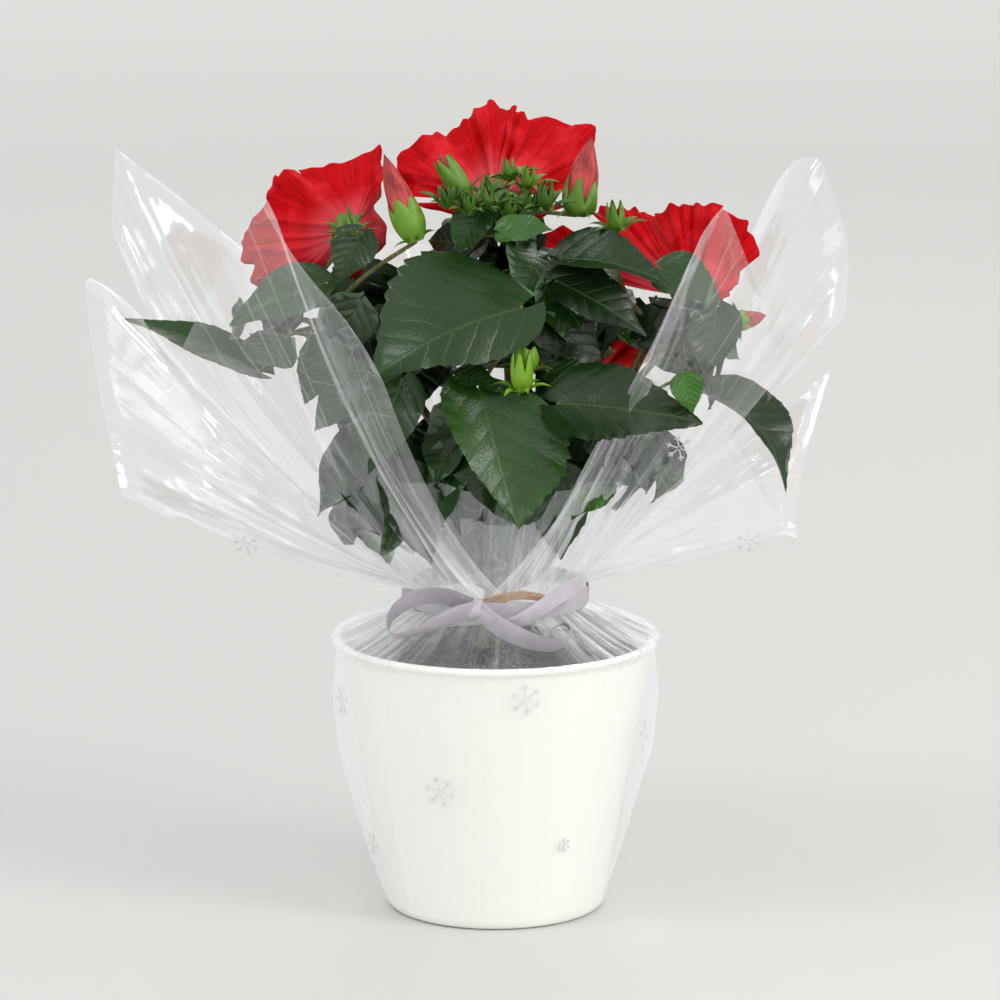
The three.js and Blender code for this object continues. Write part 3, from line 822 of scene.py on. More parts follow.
# box: stalk and tip (shares of it), width, tint, and how far the leaf faces the front
LOOSE = [
    ("leaves_top", (0.56, -0.22, 0.64), (0.96, -0.34, 0.71), 0.019, 0.75, 0.9),
    ("leaves_right_high", (0.84, 0.09, 0.78), (0.73, -0.04, 0.16), 0.025, 0.10, 1.4),
    ("leaves_right_high", (0.21, 0.21, 1.14), (0.88, -0.01, 0.81), 0.026, 0.30, 0.9),
    ("leaves_right_low", (0.25, 0.05, 1.05), (0.45, -0.04, 0.43), 0.016, 0.00, 1.6),
    ("leaves_front_low", (0.24, 0.11, 1.29), (0.62, -0.06, 1.18), 0.017, 0.30, 0.7),
    ("leaves_centre_high", (0.63, 0.03, -0.21), (0.87, -0.09, -0.31), 0.018, 0.20, 0.7),
    ("leaves_right_low", (0.46, 0.18, 0.25), (0.20, 0.02, -0.15), 0.020, 0.80, 1.3),
    ("leaves_right_low", (0.80, 0.32, 0.75), (0.50, 0.13, 0.55), 0.018, 0.60, 0.9),
    ("leaves_left_high", (0.91, 0.12, 1.79), (0.76, 0.02, 1.06), 0.022, 0.15, 1.5),
    ("leaves_left_high", (0.68, 0.18, 0.99), (0.09, 0.12, 0.37), 0.026, 0.35, 0.8),
    ("leaves_left_low", (0.41, 0.13, 1.26), (-0.07, 0.05, 0.88), 0.026, 0.20, 0.9),
    ("leaves_left_low", (0.71, -0.04, 1.24), (0.41, -0.17, 0.63), 0.030, 0.25, 1.3),
    ("leaves_left_low", (0.26, 0.13, 0.84), (0.58, 0.13, 0.16), 0.030, 0.20, 1.5),
    ("leaves_left_low", (0.67, 0.05, 0.62), (0.97, 0.13, -0.04), 0.030, 0.15, 1.5),
    ("leaves_left_low", (0.06, 0.35, 1.43), (-0.17, 0.32, 1.01), 0.022, 0.25, 1.2),
    ("leaves_centre_high", (0.67, 0.15, 0.84), (1.11, 0.01, 0.24), 0.032, 0.00, 0.9),
    ("leaves_centre_high", (0.57, 0.20, 0.60), (0.90, 0.10, -0.23), 0.030, 0.00, 1.2),
    ("leaves_front_low", (0.36, 0.36, 0.72), (0.29, 0.45, -0.13), 0.030, 0.10, 1.6),
    ("leaves_front_low", (1.09, 0.45, 0.46), (1.10, 0.57, -0.32), 0.028, 0.20, 1.6),
    ("leaf_right_low", (0.87, 0.10, 1.04), (0.93, 0.02, 0.34), 0.0150, 1.0, 1.8),
]
loose = Heap()
for number, (mass, foot, tip, width, tint, frontward) in enumerate(LOOSE):
    draw = np.random.default_rng(120 + number)
    joint, point = inside(mass, *foot), inside(mass, *tip)
    stalk_to(nearest(carriers[HELD_BY.get(mass, mass)], joint), joint, 0.004,
             0.0010, 0.0008, 6, 12)
    points, faces, uv, side = blade(
        joint, point, (draw.uniform(-0.3, 0.3), -frontward, 0.9), width, 24, 9,
        draw.uniform(0.05, 0.12), draw.uniform(0.15, 0.30), 0.04, 7, 0.12,
        draw.uniform(-0.15, 0.25), 130 + number)
    loose.add(points, faces, uv, under=side, tint=tint)

# the lowest leaves, pressed upright against the stems where the wrap is drawn in
NECK_LEAVES = 60
NECK_SPAN = (175, 385)
draw = np.random.default_rng(170)
for number in range(NECK_LEAVES):
    turn = math.radians(draw.uniform(*NECK_SPAN))
    out = np.array([math.cos(turn), math.sin(turn), 0.0])
    low = draw.uniform(TRUNK_HIGH.z - 0.022, TRUNK_HIGH.z + 0.004)
    joint = out * draw.uniform(0.009, 0.020) + UP * low
    lean = out + 0.35 * np.cross(UP, out) * draw.uniform(-1, 1)
    point = joint + lean * draw.uniform(0.010, 0.034) + UP * draw.uniform(0.024, 0.044)
    stalk_to(UP * (low - 0.010), joint, 0.0, 0.0010, 0.0008, 6, 8)
    points, faces, uv, side = blade(
        joint, point, out + UP * 0.25, draw.uniform(0.014, 0.024), 18, 7,
        draw.uniform(0.02, 0.08), draw.uniform(0.2, 0.5), 0.05, 5, 0.12,
        draw.uniform(-0.1, 0.3), 180 + number)
    loose.add(points, faces, uv, under=side, tint=draw.uniform(0.0, 0.5))
loose.solid("leaves_loose", glossy_leaf, "leaf")

# ---- flowers ----
# Five broad, crumpled red petals that overlap in a spiral round a pale throat, with a long
# column of stamens, on a green five-pointed calyx inside a ring of narrow bracts.
PETAL_HALF = 0.00016
PETAL_BELLY, PETAL_RUFFLE = 0.0055, 0.0023
PETAL_CREASES, CREASE_DEPTH = 4, 0.0034
COLUMN_LENGTH = 0.036
COLUMN_RADIUS, COLUMN_TIP = 0.0016, 0.0009
ANTHERS, ANTHER_RADIUS = 56, 0.0006
FILAMENT_RADIUS, FILAMENT_TIP = 0.00018, 0.00014
STIGMAS, STIGMA_RADIUS, STIGMA_PAD = 5, 0.0003, 0.0008
CALYX_RADIUS, CALYX_LENGTH, CALYX_WALL = 0.0066, 0.019, 0.00035
BRACTS, BRACT_WIDTH = 6, 0.0032

petal = Finish("red_petal")
petal_across, petal_out = petal.unwrapped()
petal_fan = petal.fan(petal_across * 26.0, petal_out * 1.3)
petal_streak = petal.grain(petal_fan, 1.6, 4.0, 0.6)
petal_cloud = petal.grain(petal.spot(), 60.0, 3.0)
petal_shade = petal.blend(
    petal_streak.step(0.30, 0.72), colour(172, 0, 8), colour(222, 4, 22))
# The lighter pink clouds over the red are a painted highlight.
petal_shade = petal.blend(petal_cloud.step(0.48, 0.70) * 0.45, petal_shade, colour(248, 54, 66))
petal_pale = (petal_out + petal_streak * 0.35).step(0.80, 0.25)
petal_shade = petal.blend(petal_pale * 0.75, petal_shade, colour(252, 104, 118))
petal_shade = petal.blend(petal_out.step(0.24, 0.05) * 0.6, petal_shade, colour(252, 186, 202))
petal_face = petal.shader(
    Base_Color=petal_shade, Roughness=0.6, Specular_IOR_Level=0.08,
    Normal=petal.bump(petal_streak * 0.6 + petal_cloud, 0.0009, 0.7))
petal_through = petal.node("BsdfTranslucent", {}, {"Color": petal_shade})
red_petal = petal.close(petal.node("MixShader", {}, {0: 0.25, 1: petal_face, 2: petal_through}))

green = Finish("bud_green")
green_cloud = green.grain(green.spot(), 130.0, 3.0)
green_shade = green.blend(green.mark("tint"), colour(38, 76, 20), colour(116, 164, 30))
green_shade = green.blend(green_cloud.step(0.45, 0.8) * 0.35, green_shade, colour(140, 178, 74))
bud_green = green.close(green.shader(
    Base_Color=green_shade, Roughness=0.45,
    Normal=green.bump(green_cloud, 0.0004, 0.6)))

column = Finish("stamen_yellow")
column_cloud = column.grain(column.spot(), 500.0, 2.0)
stamen_yellow = column.close(column.shader(
    Base_Color=column.blend(column_cloud, colour(214, 150, 30), colour(250, 214, 96)),
    Roughness=0.8, Normal=column.bump(column_cloud, 0.0003)))


def frame_of(way):
    """Two directions square to a given one, and the direction itself."""
    way = unit(way)
    side = unit(np.cross(way, (0.31, 0.2, 0.93) if abs(way[2]) < 0.9 else (0.9, 0.3, 0.1)))
    return side, np.cross(way, side), way


def spoke(turn, side, over):
    return math.cos(turn) * side + math.sin(turn) * over


def hoop(centre, wide, turn, side, over):
    return centre + (wide * np.cos(turn))[:, None] * side + (wide * np.sin(turn))[:, None] * over


stamens, greens = Heap(), Heap()


def calyx(foot, way, radius, length, points_up, tint, spread=0.0):
    """A five-pointed green cup on a flower's or bud's foot."""
    side, over, way = frame_of(way)
    turn = full_turn(60)
    crown = np.abs(np.cos(2.5 * turn)) ** 1.2
    rings = []
    for inner in (False, True):
        for share in np.linspace(0, 1, 9)[::-1 if inner else 1]:
            height = length * (share * (1 - points_up) + share ** 1.5 * points_up * crown)
            swell = np.sin(np.pi * np.clip(0.12 + 0.62 * share, 0, 1)) ** 0.7
            wide = radius * (swell + spread * share ** 2 * crown)
            wide = np.maximum(wide - (CALYX_WALL if inner else 0.0) * (share > 0), 0.0006)
            rings.append(hoop(foot + height[:, None] * way, wide, turn, side, over))
    points, faces = shell(np.array(rings))
    greens.add(points, faces, tint=tint)


def bracts(foot, way, length, width, lean, tint, draw):
    """A ring of narrow bracts. A lean of 0 hugs the bud, 1 lies flat and more hangs down."""
    side, over, way = frame_of(way)
    for k in range(BRACTS):
        out = spoke(2 * math.pi * (k + draw.uniform(-0.15, 0.15)) / BRACTS, side, over)
        tilt = lean * math.pi / 2 * draw.uniform(0.85, 1.1)
        aim = math.cos(tilt) * way + math.sin(tilt) * out
        start = foot + out * width * 0.8
        points, faces, uv, _ = blade(
            start, start + aim * length * draw.uniform(0.8, 1.1), way, width, 8, 5,
            droop=-0.1 if lean < 0.5 else 0.18, cup=0.5, waves=0.0, teeth=1, heart=0.0,
            seed=int(draw.integers(1 << 30)))
        greens.add(points, faces, tint=tint)


def petal_grid(foot, corners, back, draw):
    """The points of one petal, from its narrow claw out to its rim, which runs from corner to
    corner. Its middle bellies out to the back of the flower."""
    rows, cols = 34, 33
    v = np.linspace(0, 1, rows)[:, None]
    corners = np.asarray(corners)
    steps = np.linalg.norm(np.diff(corners, axis=0), axis=1)
    stops = np.concatenate([[0], np.cumsum(steps)]) / steps.sum()
    u = np.linspace(0, 1, cols)
    rim = np.stack([np.interp(u, stops, corners[:, axis]) for axis in range(3)], -1)
    torn = np.interp(u, np.linspace(0, 1, 12), draw.uniform(-0.045, 0.035, 12))
    rim = rim + (rim - foot) * torn[:, None]
    claw = foot + (rim - foot) * 0.04
    grid = claw + (rim - claw) * v[..., None]
    swell = PETAL_BELLY * np.sin(np.pi * v ** 0.8) * (1 - 0.3 * (2 * u - 1) ** 2)
    grid = grid + back * swell[..., None]
    normal = normals(grid)
    phase = draw.uniform(0, 6.28, 4)
    lift = PETAL_RUFFLE * v ** 1.6 * (np.sin(7 * u + phase[0] + 1.5 * v) * 0.55
                                      + np.sin(15 * u + phase[1] - 2 * v) * 0.40 * v
                                      + np.sin(29 * u + phase[2]) * 0.20 * v ** 2)
    for k in range(PETAL_CREASES):
        away = np.abs(u - draw.uniform(0.1, 0.9) - 0.12 * (v - 0.5) * draw.normal())
        lift = lift - CREASE_DEPTH * v * (1 - v * 0.4) * np.clip(1 - away / 0.07, 0, None)
    grid = grid + lift[..., None] * normal
    return grid, sheet_map(u, v, (rows, cols))


def stem_to(spot, mass, foot=0.0012, tip=0.0010):
    """A flower stalk from the nearest limb of a mass to a spot."""
    stalk_to(nearest(carriers[mass], spot), spot, 0.004, foot, tip, 8, 14)


# node: foot (share of its box), way its column points, the rim corners of each petal
# (shares), mass that holds it
BLOOMS = {
    "bloom_left": ((0.78, 0.02, 0.53), (-0.45, 0.88, 0.10), (
        ((0.42, 0.54, 0.82), (0.60, 0.60, 0.84), (0.78, 0.68, 0.90), (0.97, 0.73, 0.96),
         (1.0, 0.66, 0.81)),
        ((0.20, 0.27, 0.68), (0.28, 0.31, 0.80), (0.38, 0.51, 0.86), (0.55, 0.58, 0.85),
         (0.70, 0.66, 0.83)),
        ((0.36, 0.20, 0.80), (0.18, 0.20, 0.62), (0.0, 0.24, 0.44), (0.07, 0.28, 0.34),
         (0.20, 0.26, 0.30)),
        ((0.05, 0.22, 0.42), (0.12, 0.18, 0.31), (0.10, 0.14, 0.22), (0.20, 0.10, 0.12),
         (0.40, 0.12, 0.15)),
        ((0.95, 0.70, 0.88), (1.0, 0.77, 0.64), (1.0, 0.70, 0.40), (0.76, 0.51, 0.21))),
        "leaves_left_high"),
    "bloom_top": ((0.51, 0.08, 0.25), (0.02, 0.95, 0.25), (
        ((0.74, 0.57, 0.80), (0.87, 0.54, 0.77), (1.0, 0.49, 0.73), (1.0, 0.41, 0.58),
         (0.98, 0.31, 0.31)),
        ((0.54, 0.68, 0.88), (0.64, 0.68, 0.92), (0.61, 0.68, 0.84), (0.74, 0.68, 0.79),
         (0.89, 0.64, 0.75)),
        ((0.26, 0.49, 0.68), (0.41, 0.57, 0.84), (0.48, 0.59, 0.98), (0.55, 0.59, 0.92),
         (0.59, 0.57, 0.84)),
        ((0.05, 0.25, 0.24), (0.05, 0.34, 0.53), (0.15, 0.41, 0.66), (0.23, 0.47, 0.73),
         (0.29, 0.49, 0.69)),
        ((0.86, 0.10, 0.18), (0.69, 0.0, 0.06), (0.40, 0.0, 0.08), (0.12, 0.10, 0.20))),
        "leaves_top"),
    "bloom_right": ((0.63, 0.22, 0.03), (0.10, 0.93, 0.30), (
        ((0.42, 0.77, 0.69), (0.50, 0.75, 0.78), (0.65, 0.70, 0.82), (0.77, 0.67, 0.78)),
        ((0.08, 0.80, 0.73), (0.14, 0.82, 0.76), (0.33, 0.85, 0.73), (0.45, 0.87, 0.68)),
        ((0.10, 0.60, 0.26), (-0.18, 0.70, 0.30), (-0.22, 0.76, 0.46), (-0.06, 0.79, 0.58)),
        ((0.86, 0.35, 0.34), (0.84, 0.30, 0.15), (0.80, 0.27, 0.04), (0.70, 0.27, 0.0)),
        ((0.72, 0.57, 0.84), (0.82, 0.55, 0.76), (0.89, 0.52, 0.69), (0.91, 0.50, 0.51),
         (0.94, 0.50, 0.37), (0.86, 0.50, 0.29))),
        "leaves_right_high"),
    "bloom_back": ((0.37, 0.24, 0.06), (0.30, 0.62, 0.70), (
        ((0.25, 0.65, 1.0), (0.45, 0.70, 0.95), (0.70, 0.75, 0.98), (0.85, 0.75, 0.80)),
        ((0.80, 0.85, 0.85), (1.0, 0.85, 0.65), (0.95, 0.95, 0.40), (0.85, 1.0, 0.30)),
        ((0.90, 0.95, 0.40), (0.75, 1.0, 0.10), (0.50, 1.0, 0.15), (0.35, 0.95, 0.05)),
        ((0.45, 0.95, 0.10), (0.15, 0.90, 0.20), (0.0, 0.70, 0.35), (0.05, 0.60, 0.55)),
        ((0.0, 0.65, 0.45), (0.05, 0.50, 0.75), (0.15, 0.55, 0.90), (0.35, 0.60, 0.95))),
        "leaves_back_right"),
}
for number, (node, (foot, way, rims, mass)) in enumerate(BLOOMS.items()):
    draw = np.random.default_rng(210 + number)
    foot = inside(node, *foot)
    rims = [np.array([inside(node, *corner) for corner in rim]) for rim in rims]
    way = unit(way)
    flower = Heap()
    for k, rim in enumerate(rims):
        lapped = foot + way * (0.002 + 0.0004 * k)
        grid, uv = petal_grid(lapped, rim, -way, draw)
        flower.add(*sheet(grid, PETAL_HALF, uv + (k, 0))[:3])
    flower.solid(node, red_petal, "petal", [node], crease=70)
    side, over, way = frame_of(way)
    tip = foot + way * COLUMN_LENGTH + side * 0.003
    middle = foot + way * COLUMN_LENGTH * 0.6
    stamens.add(*limb([foot + way * 0.004, middle, tip], COLUMN_RADIUS, COLUMN_TIP, 10, 16))
    for k in range(ANTHERS):
        share = draw.uniform(0.45, 0.93)
        spot = foot + (tip - foot) * share
        out = spoke(draw.uniform(0, 6.28), side, over)
        far = spot + out * draw.uniform(0.003, 0.0045) + way * 0.001
        stamens.add(*limb([spot, far], FILAMENT_RADIUS, FILAMENT_TIP, 4, 2))
        stamens.add(*limb([far - out * 0.0006, far, far + out * 0.0008],
                          ANTHER_RADIUS, ANTHER_RADIUS, 6, 4))
    for k in range(STIGMAS):
        out = spoke(2 * math.pi * k / STIGMAS, side, over)
        stamens.add(*limb([tip, tip + out * 0.003 + way * 0.002],
                          STIGMA_RADIUS, STIGMA_RADIUS, 5, 3))
        pad = tip + out * 0.0036 + way * 0.0024
        stamens.add(*limb([pad - way * 0.0006, pad, pad + way * 0.0006],
                          STIGMA_PAD, STIGMA_PAD, 7, 4))
    calyx(foot - way * 0.003, way, CALYX_RADIUS, CALYX_LENGTH, 0.55, 0.42, 0.30)
    bracts(foot - way * 0.003, way, 0.012, BRACT_WIDTH, 0.7, 0.3, draw)
    stem_to(foot - way * 0.002, mass, 0.0015, 0.0013)

# ---- buds ----
# Rolled red petals in a point, half held by a swollen green calyx over a star of bracts.
# The youngest are still green and closed.
FURROW_DEPTH, WRINKLE_DEPTH = 0.09, 0.03

bud = Finish("bud_red")
bud_round, bud_up = bud.unwrapped()
bud_fan = bud.fan(bud_round * 22.0, bud_up * 3.0)
bud_wrinkle = bud.grain(bud_fan, 1.2, 4.0, 0.6)
bud_shade = bud.blend(bud_wrinkle.step(0.35, 0.7), colour(132, 30, 34), colour(204, 72, 68))
bud_shade = bud.blend(bud_up.step(0.90, 1.0) * 0.85, bud_shade, colour(74, 42, 44))
bud_red = bud.close(bud.shader(
    Base_Color=bud_shade, Roughness=0.6,
    Normal=bud.bump(bud_wrinkle, 0.0008, 0.9)))


def rolled(foot, tip, radius, heap):
    """The furled petals of a bud: a pointed body with a twist of five soft furrows."""
    side, over, way = frame_of(tip - foot)
    length = np.linalg.norm(tip - foot)
    around, steps = 40, 26
    turn = full_turn(around)
    rings, uv = [], []
    for share in np.linspace(0.02, 1, steps):
        body = math.sin(math.pi * min(1.0, 0.22 + 0.80 * share)) ** 0.75
        body = max(body, 0.0) * (1 - 0.12 * share) + 0.012
        furrow = 1 + FURROW_DEPTH * np.sin(3 * turn + 5.5 * share) * min(1.0, share * 2)
        furrow = furrow + WRINKLE_DEPTH * np.sin(11 * turn - 9 * share)
        wide = radius * body * furrow
        rings.append(hoop(foot + way * length * share, wide, turn, side, over))
        uv += [[k / around, share] for k in range(around)]
    points, faces = shell(np.array(rings))
    heap.add(points, faces, np.array(uv + [[0.5, 0.0], [0.5, 1.0]]))


# node: foot and tip (shares), radius, calyx share, how far its points stand up, tint,
# bract length, bract lean, mass that holds it
BUDS = {
    "bud_left": ((0.82, 0.43, 0.01), (0.07, 0.57, 1.0), 0.0078, 0.50, 0.25, 0.62, 0.009, 0.9,
                 "leaves_left_high"),
    "bud_centre": ((0.89, 0.44, 0.04), (0.04, 0.61, 0.98), 0.0056, 0.88, 0.30, 0.45, 0.012,
                   0.8, "leaves_top"),
    "bud_right": ((0.37, 0.5, 0.0), (0.79, 0.5, 1.0), 0.0086, 0.50, 0.62, 0.35, 0.012, 1.0,
                  "leaves_top"),
    "bud_front": ((0.50, 0.60, -0.50), (0.50, 0.70, 0.12), 0.0058, 1.06, 0.20, 0.75, 0.012,
                  1.0, "leaves_front_low"),
    "bud_low_right": ((0.01, 0.44, 0.4), (0.98, 0.64, 0.7), 0.0050, 0.50, 0.30, 0.62, 0.010,
                      0.9, "leaves_right_high"),
    "bud_back": ((0.62, 0.19, 0.02), (0.23, 0.93, 0.97), 0.0068, 0.55, 0.30, 0.5, 0.012, 0.9,
                 "leaves_back_left"),
}
for number, (node, form) in enumerate(BUDS.items()):
    foot, tip, radius, held, stand, tint, bract, lean, mass = form
    draw = np.random.default_rng(300 + number)
    foot, tip = inside(node, *foot), inside(node, *tip)
    way = unit(tip - foot)
    length = np.linalg.norm(tip - foot)
    body = Heap()
    rolled(foot + way * 0.002, tip, radius * 0.84, body)
    body.solid(node, bud_red, "bud", [node])
    calyx(foot, way, radius, length * held, stand, tint)
    bracts(foot, way, bract, BRACT_WIDTH, lean, tint * 0.8, draw)
    stem_to(foot, mass)

# the youngest buds: box, foot and tip (shares of it), radius, tint
YOUNG = [
    ("leaves_top", (0.64, 0.37, 1.36), (0.62, 0.37, 1.70), 0.0034, 0.35),
    ("leaves_top", (0.76, 0.30, 1.24), (0.78, 0.27, 1.59), 0.0036, 0.45),
    ("leaves_top", (0.90, 0.13, 0.94), (0.91, 0.06, 1.37), 0.0040, 0.15),
    ("leaves_centre_high", (0.97, 0.39, 1.37), (0.96, 0.36, 1.71), 0.0046, 0.35),
    ("leaves_left_high", (0.85, 0.18, 1.68), (0.83, 0.18, 2.02), 0.0038, 0.40),
    ("leaves_top", (0.48, 0.10, 0.95), (0.46, 0.03, 1.35), 0.0034, 0.10),
    ("leaves_top", (0.17, 0.10, 0.98), (0.14, 0.05, 1.32), 0.0030, 0.15),
    ("leaves_top", (0.33, 0.06, 0.88), (0.33, 0.00, 1.20), 0.0030, 0.25),
    ("leaves_top", (0.62, 0.10, 0.80), (0.66, 0.02, 1.15), 0.0032, 0.20),
    ("leaves_top", (0.78, 0.16, 0.90), (0.80, 0.10, 1.20), 0.0030, 0.15),
    ("leaves_front_low", (0.77, -0.10, 1.20), (0.78, -0.16, 1.50), 0.0054, 0.90),
]
for number, (mass, foot, tip, radius, tint) in enumerate(YOUNG):
    draw = np.random.default_rng(340 + number)
    foot, tip = inside(mass, *foot), inside(mass, *tip)
    way = unit(tip - foot)
    calyx(foot, way, radius, np.linalg.norm(tip - foot) * 1.1, 0.45, tint)
    bracts(foot, way, 0.0125, 0.0042, draw.uniform(0.4, 0.95), tint, draw)
    stem_to(foot, mass, 0.0010, 0.0009)

# two small buds that hang in the shade inside the crown
small_buds = Heap()
for foot, tip in (((0.87, 0.63, 1.82), (0.87, 0.57, 1.59)),
                  ((0.45, 0.65, 0.66), (0.50, 0.60, 0.45))):
    foot, tip = inside("leaves_right_low", *foot), inside("leaves_right_low", *tip)
    rolled(foot, tip, 0.0040, small_buds)
    calyx(foot, unit(tip - foot), 0.0042, 0.005, 0.4, 0.4)
    stem_to(foot, "leaves_right_low", 0.0010, 0.0009)
small_buds.solid("small_buds", bud_red, "bud")

greens.solid("calyxes", bud_green, "bud")
stamens.solid("stamens", stamen_yellow, "petal")
wood.solid("trunk_and_boughs", shrub_bark, "bark", ["trunk", *BOUGHS])
twigs.solid("twigs", shrub_bark, "bark")
stalks.solid("leaf_stalks", shrub_bark, "bark")

# ---- the clear wrap ----
# One sheet of clear florist's film, crisp and thin: a loose sleeve round the pot, drawn in
# over the peat to the tie and flaring above it in folded panels with free edges.
FILM_HALF = 0.00008
THICKEST_VEIL = 0.85
PANEL_ROWS, PANEL_COLS = 70, 84
PANEL_PLEATS, BACK_PLEATS = 16, 26
PANEL_WAVES, WAVE_DEPTH = 3, 0.0035
EDGE_ROLL = 0.004
UNDER_TIE = 0.06
SLEEVE_GAP, SLEEVE_SWELL = 0.0012, 0.0022
BAND_LOW, BAND_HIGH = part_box("ribbon_band")
NECK_RADIUS = BAND_HIGH.x - 0.0026
NECK_LOW, NECK_HIGH = BAND_LOW.z - 0.0005, BAND_HIGH.z + 0.0025

film = Finish("clear_film")
film_round, film_up = film.unwrapped()
film_fan = film.fan(film_round * 9.0, film_up * 1.1)
film_fold = film.grain(film_fan, 0.8, 1.0, 0.4)
film_knit = film.grain(film_fan, 1.2, 2.5, 0.6)
film_crumple = film.grain(film.spot(), 26.0, 2.0, 0.45)
film_facing = film.node("LayerWeight", {}, {"Blend": 0.30}, "Facing")
film_neck = film_up.step(0.52, 0.06)
# Thin crease lines from the noise turn the film opaque and mirror-like: painted glints. The rest
# of its gloss grows where the film is seen edge on.
film_painted_crease_glint = (film_fold - 0.5).size().step(0.012, 0.0) + (
    film_crumple - 0.5).size().step(0.006, 0.0) * 0.7
film_gloss_and_painted_glint = 0.05 + film_facing * 0.16 + film_painted_crease_glint * 0.07
film_haze = 0.010 + film_neck * (0.03 + film_knit.step(0.40, 0.66) * 0.26
                                + film_crumple.step(0.46, 0.60) * 0.12)
film_haze = film_haze + film_up.step(0.04, -0.34) * (0.14 + film_knit.step(0.42, 0.62) * 0.26)
film_veil = film_gloss_and_painted_glint + film_haze
film_shine = film_gloss_and_painted_glint / film_veil
# The film's body glows a little by its emission: painted light.
film_body = film.shader(
    Base_Color=film.blend(film_shine, colour(224, 226, 223), colour(248, 250, 252)),
    Metallic=film_shine, Roughness=0.10,
    Emission_Color=(0.96, 0.98, 1.0, 1.0), Emission_Strength=0.20,
    Normal=film.bump(film_fold + film_knit * 0.3 + film_crumple * 0.7, 0.0080, 0.9))
film_clear = film.node("BsdfTransparent", {}, {"Color": (1.0, 1.0, 1.0, 1.0)})
clear_film = film.close(film.node(
    "MixShader", {}, {0: film_veil.math("MINIMUM", film_veil, THICKEST_VEIL), 1: film_clear,
                      2: film_body}))


def cut_edge(corners, count):
    """The straight cuts of a free edge from corner to corner, each corner barely rounded."""
    corners = np.asarray(corners, float)
    share = np.linspace(0, len(corners) - 1, count)
    return np.mean([np.stack([np.interp(share + shift, range(len(corners)), corners[:, axis])
                              for axis in range(3)], -1) for shift in (-0.08, 0.0, 0.08)], 0)


def panel(first, last, corners, belly, rise, pleats, seed):
    """The points of a film panel, from the tie between two angles out to its free edge."""
    draw = np.random.default_rng(seed)
    rows, cols = PANEL_ROWS, PANEL_COLS
    edge = cut_edge(corners, cols)
    v = np.linspace(0, 1, rows)
    u = np.linspace(0, 1, cols)
    turn = np.radians(first + (last - first) * u)
    tie = np.stack([NECK_RADIUS * np.cos(turn), NECK_RADIUS * np.sin(turn),
                    np.full(cols, NECK_LOW)], -1)
    collar = tie + (0, 0, NECK_HIGH - NECK_LOW)
    pull = np.stack([tie[:, 0] + (edge[:, 0] - tie[:, 0]) * belly,
                     tie[:, 1] + (edge[:, 1] - tie[:, 1]) * belly,
                     NECK_HIGH + (edge[:, 2] - NECK_HIGH) * rise], -1)
    grid = np.zeros((rows, cols, 3))
    for i, climb in enumerate(v):
        if climb < UNDER_TIE:
            grid[i] = tie + (collar - tie) * climb / UNDER_TIE
        else:
            t = (climb - UNDER_TIE) / (1 - UNDER_TIE)
            grid[i] = collar * (1 - t) ** 2 + pull * 2 * t * (1 - t) + edge * t * t
    normal = normals(grid)
    lift = np.zeros((rows, cols))
    climb = v[:, None]
    for k in range(pleats):
        centre = draw.uniform(0.02, 0.98)
        drift = draw.uniform(-0.10, 0.10)
        wide = draw.uniform(0.012, 0.05) * (1 + 0.8 * climb)
        height = draw.uniform(0.0010, 0.0034) * draw.choice([-1, 1])
        fade = np.exp(-((climb - draw.uniform(0.05, 0.55)) / draw.uniform(0.25, 0.6)) ** 2)
        away = np.abs(u[None, :] - centre - drift * climb) / wide
        lift += height * fade * np.clip(1 - away, 0, None)
    for k in range(PANEL_WAVES):
        lift += WAVE_DEPTH * climb ** 1.3 * np.sin(
            2 * np.pi * (u[None, :] * draw.uniform(0.7, 1.8) + draw.uniform()) + 1.5 * climb)
    lift *= np.clip(climb / UNDER_TIE, 0, 1)
    lift += EDGE_ROLL * np.clip((climb - 0.94) / 0.06, 0, 1) ** 2
    grid = grid + lift[..., None] * normal
    across = u[None, :] * abs(last - first) / 60 + seed
    return sheet(grid, FILM_HALF, sheet_map(across, climb, (rows, cols)))


# node: the angles it leaves the tie between, the corners of its free edge (shares of its
# box), how far out and how high it has swung half way
PANELS = {
    "film_left_low": (168, 216, ((0.18, 1.0, 0.73), (0.0, 0.68, 1.0), (0.08, 0.45, 0.68),
                                 (0.14, 0.21, 0.41), (0.30, 0.0, 0.35)), 0.5, 0.36),
    "film_left_high": (136, 170, ((0.55, 0.99, 0.66), (0.30, 0.81, 0.80), (0.02, 0.55, 1.0),
                                  (0.0, 0.50, 0.80), (0.10, 0.48, 0.62)), 0.6, 0.30),
    "film_left_front": (212, 276, ((0.0, 0.55, 0.56), (0.15, 0.25, 0.79), (0.35, 0.09, 1.0),
                                   (0.52, 0.0, 0.79), (0.66, 0.05, 0.60)), 0.58, 0.34),
    "film_right_front": (266, 324, ((0.51, 0.25, 0.55), (0.64, 0.20, 0.77), (0.77, 0.18, 1.0),
                                    (0.92, 0.31, 0.79), (1.0, 0.50, 0.59)), 0.5, 0.40),
    "film_right_low": (320, 362, ((0.63, 0.01, 0.77), (0.76, 0.25, 0.57), (0.86, 0.67, 0.37),
                                  (0.92, 0.88, 0.65), (1.0, 0.99, 1.0)), 0.45, 0.50),
    "film_right_high": (0, 34, ((1.0, 0.05, 0.65), (0.98, 0.19, 0.83), (0.92, 0.37, 1.0),
                                (0.80, 0.66, 0.97), (0.59, 1.0, 0.72)), 0.5, 0.36),
    "film_back": (38, 132, ((1.0, 0.66, 0.83), (0.76, 0.91, 1.0), (0.47, 0.99, 0.81),
                            (0.21, 0.91, 0.96), (0.0, 0.66, 0.80)), 0.6, 0.24),
}
panel_skins = {}
